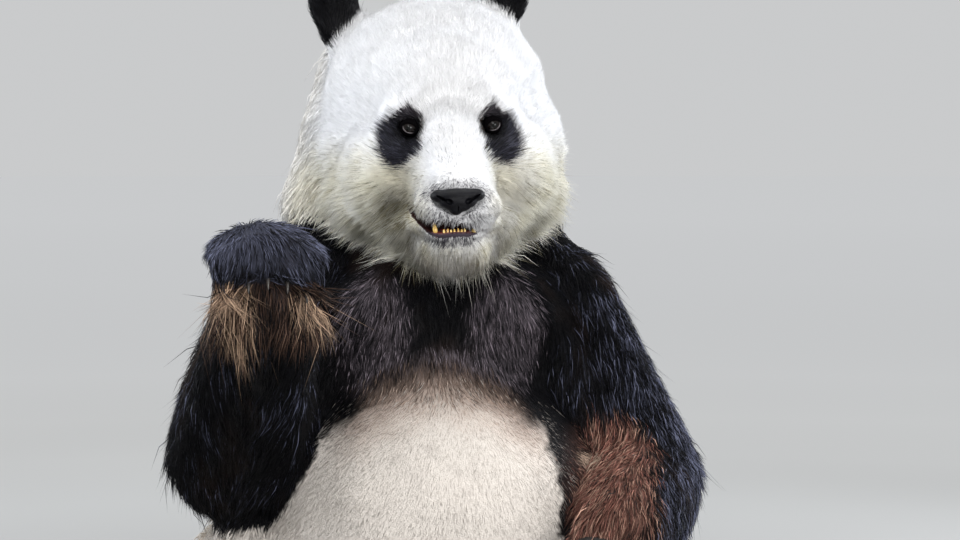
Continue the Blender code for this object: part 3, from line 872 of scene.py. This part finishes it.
coatPieces = {  # how many bent tufts and how many fine straight ones each piece has
    "fur_face_left": (0, 46000),
    "fur_face_right": (0, 46000),
    "fur_crown": (4000, 30000),
    "fur_neck": (4000, 7000),
    "fur_chest": (7000, 20000),
    "fur_belly": (0, 36000),
    "fur_back": (6000, 15000),
    "fur_arm_left": (8500, 18000),
    "fur_arm_right": (8500, 18000),
    "fur_leg_left": (4000, 11000),
    "fur_leg_right": (4000, 11000),
}

tuftPlan = {
    "spread": 0.15,  # how untidily the tufts point, in radians
    "clump": 12,  # tufts in a lock
    "gather": 0.34,  # how far the tips of a lock come together
    "curl": 0.5,  # how far a tuft bends back to the body
    "fine": 0.72,  # width, length and lift of a straight tuft, beside a bent one
    "fineLength": 0.85,
    "fineLift": 0.80,
    "shade": (0.60, 0.91),  # painted shade: brightness at the root of dark and of pale tufts
    "vary": (0.18, 0.036),  # difference from tuft to tuft
    "clear": 0.10,  # least height of a tip over the skin, as a share of the tuft
    "patch": 0.003,  # size of a tuft's patch on the colour map
}


def pieceOf(places, name):
    part = partOf(name)
    side, forward, _ = inHead(places, eyeMid)
    if part in ("head", "lower_jaw"):
        return np.where(forward > -0.105, np.where(side > 0, "fur_face_left", "fur_face_right"), "fur_crown")
    if part == "abdomen":
        return np.where(places[:, 1] < 0.03, "fur_belly", "fur_back")
    home = {"ear": "fur_crown", "neck": "fur_neck", "chest": "fur_chest", "tail": "fur_back"}.get(part)
    limb = "fur_arm_" if part in ("upper_arm", "forearm", "paw_fore") else "fur_leg_"
    return np.full(len(places), home or limb + name.rsplit("_", 1)[-1])


def unwrapOf(name, triangles):
    # flattens a part of the skin, and gives the place of each corner on the flat
    used, corners = np.unique(triangles, return_inverse=True)
    flat = bpy.data.meshes.new(name)
    flat.from_pydata(points[used].tolist(), [], corners.reshape(-1, 3).tolist())
    piece = newPiece(name, flat)
    startEdit(piece)
    bpy.ops.uv.smart_project(angle_limit=math.radians(60), island_margin=0.004)
    endEdit()
    places = readMesh(flat.uv_layers.active.data, "uv", 2)
    bpy.data.objects.remove(piece)
    return places.reshape(-1, 3, 2)


# the corners of a tuft: three at its root, three at its bend, and its tip; a straight tuft has no bend
bentFaces = np.array([[0, 2, 1], [0, 1, 4], [0, 4, 3], [1, 2, 5], [1, 5, 4],
                      [2, 0, 3], [2, 3, 5], [3, 4, 6], [4, 5, 6], [5, 3, 6]])
fineFaces = np.array([[0, 2, 1], [0, 1, 3], [1, 2, 3], [2, 0, 3]])
fineCorners = [0, 1, 2, 6]
patchCorners = np.array([[-1, -1], [1, -1], [0, -1], [-1, 0.2], [1, 0.2], [0, 0.2], [0, 1]])


def growFur(name, triangles, counts, seed):
    # tapered tufts of three sides, closed at the root, in locks that lie along the body
    dice = np.random.default_rng(seed)
    flat = unwrapOf(name, triangles)
    area = areaOf(points[triangles])
    dense = area * coatAt["close"][triangles].mean(1) * (1 - bare[triangles].max(1))
    chosen, shares = scatter(area, dense, sum(counts), dice)

    def here(values):
        return blendOf(values[triangles], chosen, shares)

    root, normal, lie = here(points), unit(here(normals)), unit(here(coatAt["lie"]))
    length, width, lift, lock = (here(coatAt[item]) for item in ("length", "width", "lift", "lock"))
    lift = np.radians(lift)
    total = len(root)
    straight = dice.random(total) < counts[1] / sum(counts)
    at = {item: here(values) for item, values in parts.items()}
    paint = coatColour(root + lie * length[:, None] * 0.3, at, dice)

    lie = unit(lie - normal * dot(lie, normal)[:, None])
    stray = dice.normal(0, tuftPlan["spread"], total)
    stray = stray + 0.18 * wobble(root, 0.06, 7) + 0.10 * wobble(root, 0.02, 8)
    stray = (stray * (0.35 + 0.65 * lock))[:, None]
    lie = lie * np.cos(stray) + np.cross(normal, lie) * np.sin(stray)
    lift = lift * dice.uniform(0.55, 1.45, total) * np.where(straight, tuftPlan["fineLift"], 1)
    length = length * dice.uniform(0.7, 1.25, total) * np.where(straight, tuftPlan["fineLength"], 1)
    length = length * np.where(dice.random(total) < here(coatAt["wisp"]), dice.uniform(1.4, 2.1, total), 1)
    width = width * np.where(straight, tuftPlan["fine"], 1)

    def step(angle, share):
        return (lie * np.cos(angle) + normal * np.sin(angle)) * length[:, None] * share

    up = lift[:, None]
    start = root - normal * np.minimum(0.0012, 0.06 * length)[:, None]
    bend = start + step(up, 0.45)
    tip = bend + step(up * (1 - 2 * tuftPlan["curl"] * ~straight[:, None]), 0.55)

    # locks: each tuft's tip is drawn to that of the nearest leading tuft
    leaders = np.flatnonzero(dice.random(total) < 1 / tuftPlan["clump"])
    lead = leaders[nearestIn(indexOf(root[leaders]), root)]
    pull = tuftPlan["gather"] * dice.uniform(0.4, 1.4, total)[lead][:, None]
    near = falling(np.linalg.norm(root[lead] - root, axis=1), 0.008, 0.020)
    pull = pull * (lock * near)[:, None]
    tip = tip + (tip[lead] - tip) * pull
    bend = bend + (bend[lead] - bend) * pull * 0.35

    # in a hollow a tuft is lifted until it is clear of the skin, and none goes under the floor
    near = nearestIn(skinIndex, tip)
    least = tuftPlan["clear"] * lock * length
    raised = normals[near] * np.clip(least - dot(tip - points[near], normals[near]), 0, 0.7 * length)[:, None]
    tip = tip + raised
    bend = bend + raised * 0.55
    for spots, floorGap in ((start, 0.0008), (bend, 0.002), (tip, 0.001)):
        spots[:, 2] = np.maximum(spots[:, 2], floorGap)

    axis = unit(np.where(straight[:, None], tip, bend) - start)
    side = unit(np.cross(normal, axis))
    rise = np.cross(side, axis)
    corners = []
    for middlePoint, scale in ((start, 0.5), (bend, 0.42)):
        for angle in (90, 210, 330):
            turn = math.radians(angle)
            offset = side * math.cos(turn) - rise * math.sin(turn)
            corners.append(middlePoint + offset * (width * scale)[:, None])
    corners = np.stack(corners + [tip], 1)
    bentOnes, fineOnes = np.flatnonzero(~straight), np.flatnonzero(straight)

    def stack(values):
        # one row for each corner: the bent tufts' seven, then the straight tufts' four
        return np.concatenate((values[bentOnes].reshape(-1, values.shape[-1]),
                               values[fineOnes][:, fineCorners].reshape(-1, values.shape[-1])))

    vertices = stack(corners)
    faces = np.concatenate((
        (bentFaces[None] + 7 * np.arange(len(bentOnes))[:, None, None]).reshape(-1, 3),
        (fineFaces[None] + 4 * np.arange(len(fineOnes))[:, None, None]).reshape(-1, 3) + 7 * len(bentOnes)))
    fur = bpy.data.meshes.new(name)
    fur.vertices.add(len(vertices))
    writePoints(fur, vertices)
    fur.loops.add(faces.size)
    fur.loops.foreach_set("vertex_index", faces.astype(np.int32).ravel())
    fur.polygons.add(len(faces))
    fur.polygons.foreach_set("loop_start", np.arange(0, faces.size, 3, dtype=np.int32))
    fur.update(calc_edges=True)
    fur.polygons.foreach_set("use_smooth", np.ones(len(faces), bool))

    # colour: darker at the root as painted shade, a little brighter at the tip, and a little different from
    # tuft to tuft and lock to lock
    pale = paleness(paint)
    rootShade, vary = (tuftPlan[k][0] + (tuftPlan[k][1] - tuftPlan[k][0]) * pale for k in ("shade", "vary"))
    tone = np.exp((dice.normal(0, 1, total) + dice.normal(0, 1, total)[lead]) * vary)
    rings = np.stack([rootShade] * 3 + [np.full(total, 0.95)] * 3 + [np.full(total, 1.08)], 1)
    paintPoints(fur, "coat", stack(np.clip(paint[:, None] * rings[..., None] * tone[:, None, None], 0, 0.95)))

    # the tuft's small patch, at its root's place on the flattened skin
    patch = blendOf(flat, chosen, shares)[:, None] + (patchCorners * tuftPlan["patch"] / 2)[None]
    patch = np.clip(stack(patch)[faces.ravel()], 0.001, 0.999)
    layer = fur.uv_layers.new(name="OFBake")
    layer.data.foreach_set("uv", patch.astype(np.float32).ravel())
    print("coat:", name, total, "tufts")
    return newPiece(name, fur)


skinIndex = indexOf(points)
allTriangles = trianglesOf(mesh)
pieceNames = np.empty(len(points), dtype="<U20")
for name in fleshNodes:
    here = names == name
    if here.any():
        pieceNames[here] = pieceOf(points[here], name)
furs = {}
for number, (name, counts) in enumerate(coatPieces.items()):
    furs[name] = growFur(name, allTriangles[pieceNames[allTriangles[:, 0]] == name], counts, 100 + number)
paintPoints(mesh, "coat", skinColour)

# materials


def newMaterial(name, **values):
    material = bpy.data.materials.new(name)
    material.use_nodes = True
    shader = material.node_tree.nodes["Principled BSDF"]
    for key, value in values.items():
        shader.inputs[key].default_value = value
    return material, shader


def link(source, socket):
    socket.id_data.links.new(source, socket)


def addNode(shader, kind, source=None, socket=0, **values):
    # a node beside the shader, with what it is fed and its other inputs
    node = shader.id_data.nodes.new("ShaderNode" + kind)
    for key, value in values.items():
        node.inputs[key].default_value = value
    if source:
        link(source, node.inputs[socket])
    return node


def placeOn(shader):
    return addNode(shader, "TexCoord").outputs["Object"]


def noiseOn(shader, scale, detail=4):
    return addNode(shader, "TexNoise", placeOn(shader), "Vector", Scale=scale, Detail=detail).outputs["Fac"]


def rangeOf(shader, source, low, high, most=1):
    # from nothing to most becomes from low to high
    scale = addNode(shader, "MapRange", source, "Value", **{"From Max": most, "To Min": low, "To Max": high})
    return scale.outputs["Result"]


def distanceFrom(shader, spot):
    away = addNode(shader, "VectorMath", placeOn(shader))
    away.operation = "DISTANCE"
    away.inputs[1].default_value = spot
    return away.outputs["Value"]


def bumpFrom(shader, height, strength, distance):
    bump = addNode(shader, "Bump", height, "Height", Strength=strength, Distance=distance)
    link(bump.outputs["Normal"], shader.inputs["Normal"])


def addPebbles(shader, scale, strength, distance):
    pebbles = addNode(shader, "TexVoronoi", placeOn(shader), "Vector", Scale=scale)
    pebbles.feature = "DISTANCE_TO_EDGE"
    bumpFrom(shader, pebbles.outputs["Distance"], strength, distance)


def rampInto(shader, source, stops, socket="Base Color"):
    blend = addNode(shader, "ValToRGB", source, "Fac")
    while len(blend.color_ramp.elements) < len(stops):
        blend.color_ramp.elements.new(0.5)
    for element, (position, colour) in zip(blend.color_ramp.elements, stops):
        element.position, element.color = position, (*colour, 1)
    link(blend.outputs["Color"], shader.inputs[socket])


def mottle(shader, scale, *colours, stops=(0.3, 0.75), socket="Base Color"):
    # cloudy colours, from dark to pale
    rampInto(shader, noiseOn(shader, scale), list(zip(stops, colours)), socket)


def paintedBy(shader, name):
    paint = addNode(shader, "VertexColor")
    paint.layer_name = name
    return paint.outputs["Color"]


def furMaterial(name, bumpDepth=0.0):
    material, shader = newMaterial(name, **{"Specular IOR Level": 0.07, "Sheen Weight": 0.02})
    coat = paintedBy(shader, "coat")
    grey = addNode(shader, "RGBToBW", coat, "Color")
    link(rangeOf(shader, grey.outputs["Val"], 0.42, 0.75, 0.3), shader.inputs["Roughness"])
    tint = addNode(shader, "VectorMath", coat)
    tint.operation = "SCALE"
    link(rangeOf(shader, noiseOn(shader, 60), 0.90, 1.06), tint.inputs["Scale"])
    link(tint.outputs["Vector"], shader.inputs["Base Color"])
    if bumpDepth:
        bumpFrom(shader, noiseOn(shader, 500), 0.6, bumpDepth)
    return material


def wear(piece, material, slotName, *nodeNames):
    piece.data.materials.clear()
    piece.data.materials.append(material)
    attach(piece, "root")
    if nodeNames:
        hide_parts(*nodeNames)


bpy.context.view_layer.update()
covered = skin.vertex_groups.new(name="covered")
covered.add(np.flatnonzero((fromNose > 0.20) & (bare < 0.5)).tolist(), 1.0, "REPLACE")
modify(skin, "DECIMATE", ratio=skinPlan["thinned"], vertex_group="covered")
skin.vertex_groups.clear()
bpy.ops.object.shade_smooth()
print("skin:", len(skin.data.polygons), "faces under the coat")
wear(skin, furMaterial("undercoat", 0.002), "white_fur", *fleshNodes)
tuftMaterial = furMaterial("tufts")
for name, piece in furs.items():
    isBlack = name.startswith(("fur_arm", "fur_leg", "fur_chest"))
    wear(piece, tuftMaterial, "black_fur" if isBlack else "white_fur")
print("coat: dressed")

# eyes and lids

eyePlan = {
    "radius": 0.0118,
    "inset": 0.0030,  # how much deeper than the solid's eye
    "outwards": 0.10,  # how far each looks to its own side
    "cornea": 0.0012,  # how proud it stands
    "reach": 0.012,  # how far the colours go from the ball's front, and where each begins: pupil, iris and rim
    "colours": ((0.0, (0.001, 0.001, 0.001)), (0.0034, (0.001, 0.001, 0.001)),
                (0.00376, (0.005, 0.003, 0.0025)), (0.00724, (0.004, 0.0025, 0.002)),
                (0.0076, (0.001, 0.001, 0.001)), (0.012, (0.003, 0.002, 0.002))),
    "lid": 0.0130,  # radius of the lids' outside, and of the part pushed in behind the eyeball's front
    "under": 0.0100,
    "opening": (0.0087, 0.0047, 0.0066),  # half width, and heights above and below the middle
    "slant": 19,  # the outer corner is higher
    "fold": 0.0010,
}


def eyeMaterial(name, centre, gaze):
    material, shader = newMaterial(name, **{"Roughness": 0.05, "Specular IOR Level": 0.24})
    away = distanceFrom(shader, centre + gaze * eyePlan["radius"])
    stops = [(place / eyePlan["reach"], colour) for place, colour in eyePlan["colours"]]
    rampInto(shader, rangeOf(shader, away, 0, 1, eyePlan["reach"]), stops)
    return material


lidMaterial, shader = newMaterial("lidSkin", **{"Roughness": 0.7, "Specular IOR Level": 0.0})
link(paintedBy(shader, "lid"), shader.inputs["Base Color"])
bumpFrom(shader, noiseOn(shader, 900), 0.4, 0.0004)


def facing(gaze):
    return gaze.to_track_quat("Z", "Y").to_matrix().to_4x4()


def addLids(name, centre, gaze, sign):
    # a shell round the eyeball, pushed in behind it where the eye is open
    lids = addBall(128, 72)
    lids.name = name
    lids.data.transform(facing(gaze))
    way = readPoints(lids.data)
    side, height = way @ (np.array(across) * sign) * eyePlan["lid"], way @ np.array(upward) * eyePlan["lid"]
    slant = math.radians(eyePlan["slant"])
    along = side * math.cos(slant) + height * math.sin(slant)
    aside = height * math.cos(slant) - side * math.sin(slant)
    wide, above, under = eyePlan["opening"]
    ring = np.hypot(along / wide, aside / np.where(aside > 0, above, under))  # one on the lids' edges
    front = way @ np.array(gaze) > 0
    radius = eyePlan["under"] + (eyePlan["lid"] - eyePlan["under"]) * rising(ring, 0.90, 1.10)
    radius = radius + eyePlan["fold"] * np.exp(-((ring - 1.35) / 0.14) ** 2) * (aside > 0)
    radius = radius - (eyePlan["lid"] - eyePlan["radius"]) * 0.8 * rising(ring, 1.25, 1.70)
    radius = np.where(front, radius, eyePlan["lid"] - 0.0010)
    writePoints(lids.data, way * radius[:, None] + np.array(centre))
    lower = np.cos(np.arctan2(aside, along) + math.radians(72))  # strongest below, towards the outer corner
    rim = np.exp(-((ring - 1.02) / 0.034) ** 2) * rising(lower, 0.20, 0.85) * front
    paintPoints(lids.data, "lid", mix(plain("lids", len(way)), colours["rim"], np.clip(rim, 0, 1)))
    startEdit(lids)
    bpy.ops.mesh.bisect(plane_co=centre - gaze * 0.002, plane_no=-gaze, use_fill=True, clear_outer=True)
    endEdit()
    settle(lids)
    return lids


for word, sign in (("left", 1), ("right", -1)):
    centre = middle("eye_" + word) - ahead * eyePlan["inset"]
    gaze = (ahead + across * sign * eyePlan["outwards"]).normalized()
    ball = addBall(48, 32, eyePlan["radius"])
    ball.name, ball.location = "eyeball_" + word, centre
    ball.data.transform(facing(gaze))
    for point in ball.data.vertices:
        point.co += gaze * eyePlan["cornea"] * max(0, (point.co.normalized().dot(gaze) - 0.80) / 0.20) ** 1.5
    settle(ball)
    wear(ball, eyeMaterial("eye_" + word, centre, gaze), "eye", "eye_" + word)
    wear(addLids("eyelids_" + word, centre, gaze, sign), lidMaterial, "eye")
print("eyes: two, with their lids")

# nose


def cutAway(piece, tool):
    modify(piece, "BOOLEAN", object=tool, operation="DIFFERENCE")
    bpy.data.objects.remove(tool)


masses = []
for (side, forward, height), sizes in nosePlan["masses"]:
    for sign in (1, -1) if side > 0.01 else (1,):
        masses.append(addMass(noseMid, (side * sign, forward, height), sizes))
leather = joinAll(masses, "nose_leather")
modify(leather, "REMESH", mode="VOXEL", voxel_size=nosePlan["voxel"])
modify(leather, "SMOOTH", factor=0.5, iterations=10)
for sign in (1, -1):
    for (side, forward, height), sizes, lean in nosePlan["nostrils"]:
        cutAway(leather, addMass(noseMid, (side * sign, forward, height), sizes, lean * sign))
cutAway(leather, addMass(noseMid, *nosePlan["groove"]))
modify(leather, "SMOOTH", factor=0.4, iterations=2)
settle(leather)
noseMaterial, shader = newMaterial("noseLeather", **{"Specular IOR Level": 0.13})
addPebbles(shader, 620, 0.55, 0.0006)
mottle(shader, 160, (0.0012, 0.0012, 0.0020), (0.0050, 0.0050, 0.0070))
mottle(shader, 300, (0.40,) * 3, (0.58,) * 3, socket="Roughness")
wear(leather, noseMaterial, "nose_leather", "nose")
print("nose: leather with nostrils")

# mouth: gums, teeth and tongue, behind the lower lip's edge

mouthDetails = {
    "canine": ((-0.0262, -0.0365), 0.0045, 0.0160, 8),  # side and height of its foot, radius, height, lean
    "left": (0.0205, 0.002, 0.6),  # the other canine: side, how much lower it stands, and share of the height
    "incisors": ((-0.0165, 0.0095), 7, 0.0023, 0.0068),  # from side to side, how many, radius, height
    "behind": 0.0042,
    "gums": (-0.0375, (0.0060, 0.0035, 0.0042)),  # height, and half sizes of each swelling
    "tongue": ((-0.004, -0.058, -0.0345), (0.0240, 0.0250, 0.0065)),
}
skinSide, skinForward, skinHeight = inHead(points, noseMid)


def behindLip(side, height, deeper=0.0):
    # a place behind the edge of the lower lip
    edge = mouthLine(side, "lower") - 0.002
    apart = np.hypot(skinSide - side, skinHeight - edge) + (skinForward < -0.10)
    behind = mouthDetails["behind"] + deeper
    return onHead(side, float(skinForward[apart.argmin()]) - behind, height, noseMid)


def addTooth(place, radius, height, lean):
    deselect()
    bpy.ops.mesh.primitive_cone_add(vertices=12, radius1=radius * 1.05, radius2=radius * 0.34, depth=height)
    tooth = bpy.context.object
    startEdit(tooth)
    bpy.ops.mesh.inset(thickness=radius * 0.12, use_select_inset=False)
    endEdit()
    modify(tooth, "SUBSURF", levels=2, render_levels=2)
    tooth.data.transform(Matrix.Translation((0, 0, height / 2)))
    spin = Matrix.Rotation(math.radians(lean), 4, "Y")
    tooth.data.transform(Matrix.Translation(place) @ headTurn.to_4x4() @ spin)
    settle(tooth)
    return tooth


(side, height), radius, tall, lean = mouthDetails["canine"]
otherSide, lower, share = mouthDetails["left"]
teeth = [addTooth(behindLip(side, height), radius, tall, -lean),
         addTooth(behindLip(otherSide, height - lower), radius, tall * share, lean)]
(first, last), number, radius, tall = mouthDetails["incisors"]
for k in range(number):
    spot = behindLip(first + (last - first) * k / (number - 1), height)
    teeth.append(addTooth(spot, radius, tall + 0.0008 * math.sin(k * 2.1), 5 * math.sin(k * 1.7)))
teeth = joinAll(teeth, "teeth")
toothMaterial, shader = newMaterial("toothEnamel", **{"Roughness": 0.25, "Coat Weight": 0.3})
mottle(shader, 180, (0.55, 0.20, 0.04), (0.85, 0.58, 0.16), (0.90, 0.80, 0.42), stops=(0.25, 0.5, 0.8))
wear(teeth, toothMaterial, "claw_horn")

tongue = addMass(noseMid, *mouthDetails["tongue"])
tongue.name = "tongue"
height, sizes = mouthDetails["gums"]
gums = joinAll([addMass(behindLip(side / 1000, height, 0.003), (0, 0, 0), sizes)
                for side in range(-22, 18, 4)], "gums")
gumMaterial, shader = newMaterial("gums", **{"Roughness": 0.22})
mottle(shader, 300, (0.110, 0.012, 0.010), (0.260, 0.045, 0.035))
wear(tongue, gumMaterial, "nose_leather")
wear(gums, gumMaterial, "nose_leather")
print("mouth: gums, teeth and tongue")

# claws and pads

hornMaterial, shader = newMaterial("clawHorn", **{"Roughness": 0.35})
mottle(shader, 120, (0.010, 0.007, 0.006), (0.045, 0.036, 0.029))
bumpFrom(shader, noiseOn(shader, 420, 6), 0.4, 0.0005)
padMaterial, shader = newMaterial("padLeather", **{"Roughness": 0.6, "Specular IOR Level": 0.3})
addPebbles(shader, 380, 0.7, 0.0012)
mottle(shader, 90, (0.004, 0.0035, 0.0035), (0.015, 0.013, 0.012))

for kind, material, slotName in (("claw", hornMaterial, "claw_horn"), ("pad", padMaterial, "pad_leather")):
    for foot in ("fore_left", "fore_right", "hind_left", "hind_right"):
        end, side = foot.split("_")
        more = {"fore": "pad_wrist_", "hind": "pad_heel_"}[end] + side if kind == "pad" else None
        chosen = sorted(n for n in frame["nodes"] if n.startswith(kind + "_" + foot) or n == more)
        made = joinAll([copyOfNode(n) for n in chosen], kind + "s_" + foot)
        modify(made, "SUBSURF", levels=2, render_levels=2)
        if kind == "pad":
            modify(made, "DISPLACE", strength=-padPlan["shrink"], mid_level=0)
            heart = sum((middle(n) for n in chosen), Vector()) / len(chosen)
            inwards = (middle("paw_" + foot) - heart).normalized()
            made.data.transform(Matrix.Translation(inwards * padPlan["deeper"][foot]))
        settle(made)
        wear(made, material, slotName, *chosen)
print("feet: claws and pads")

# studio: plain floor, soft lights and the camera

studio = {
    "lens": 100, "distance": 3.4, "turn": -10, "height": 0.80,
    "aim": (0.0367, -0.1832),  # where the camera looks, from between the eyes: to the side and down
    "world": (0.84, 0.85, 0.86), "worldLight": 0.70,
    "floor": 60.0, "fade": 24.0,  # the floor's radius, and how far out it has become as pale as the backdrop
    "floorColours": (  # from the middle outwards, paler as the light on the floor falls off
        (0.075, (0.42, 0.42, 0.415)), (0.105, (0.59, 0.595, 0.59)), (0.140, (0.745, 0.75, 0.745)),
        (0.180, (0.85, 0.855, 0.85)), (0.240, (0.92, 0.925, 0.925)), (0.50, (0.96, 0.965, 0.97)),
        (1.0, (0.99, 0.995, 1.0))),
    "spread": 120,  # the lamps' beam, in degrees, so that they don't burn out the floor beneath them
    "lamps": (
        # name, place, size, power, colour
        ("key", (-1.3, -2.6, 3.3), 2.2, 19, (1.0, 0.99, 0.97)),
        ("front", (-0.9, -3.0, 2.2), 0.6, 10, (1.0, 1.0, 1.0)),
        ("fill", (1.4, -3.0, 1.05), 1.8, 33, (1.0, 0.99, 0.98)),
        ("top", (0.2, 0.0, 3.4), 2.0, 21, (1.0, 1.0, 1.0)),
        ("left", (2.8, 0.8, 1.6), 1.6, 38, (0.90, 0.94, 1.0)),
        ("right", (-2.8, 0.8, 1.8), 1.6, 34, (0.90, 0.94, 1.0)),
    ),
    "lampsAim": (0, -0.05, 0.6),
}


def lookAt(piece, target):
    piece.rotation_euler = (target - piece.location).to_track_quat("-Z", "Y").to_euler()


deselect()
bpy.ops.mesh.primitive_circle_add(vertices=96, radius=studio["floor"], fill_type="NGON")
floor = bpy.context.object
floor.name = "floor"
floorMaterial, shader = newMaterial("floorPaint", **{"Roughness": 0.9, "Specular IOR Level": 0.0})
fade = rangeOf(shader, distanceFrom(shader, (0, 0, 0)), 0, 1, studio["fade"])
rampInto(shader, fade, studio["floorColours"])
floor.data.materials.append(floorMaterial)
floor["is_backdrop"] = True

world = bpy.data.worlds.new("studio")
bpy.context.scene.world = world
world.use_nodes = True
background = world.node_tree.nodes["Background"]
background.inputs["Color"].default_value = (*studio["world"], 1)
background.inputs["Strength"].default_value = studio["worldLight"]

for name, place, size, power, colour in studio["lamps"]:
    lamp = bpy.data.lights.new(name, "AREA")
    lamp.shape, lamp.size, lamp.energy, lamp.color = "DISK", size, power, colour
    lamp.spread = math.radians(studio["spread"])
    stand = newPiece(name, lamp)
    stand.location = place
    lookAt(stand, Vector(studio["lampsAim"]))

turn = math.radians(studio["turn"])
right, forth = Vector((math.cos(turn), math.sin(turn), 0)), Vector((-math.sin(turn), math.cos(turn), 0))
target = eyeMid + right * studio["aim"][0] + Vector((0, 0, studio["aim"][1]))
lens = bpy.data.cameras.new("camera")
lens.lens, lens.sensor_width = studio["lens"], 36
camera = newPiece("camera", lens)
camera.location = target - forth * studio["distance"]
camera.location.z = studio["height"]
lookAt(camera, target)
bpy.context.scene.camera = camera

bpy.context.scene.view_settings.view_transform = "Standard"

bpy.context.view_layer.update()
sizes = {"cad": [list(corner) for corner in cadBox], "visual": [list(corner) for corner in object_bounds()]}
print("size:", sizes)
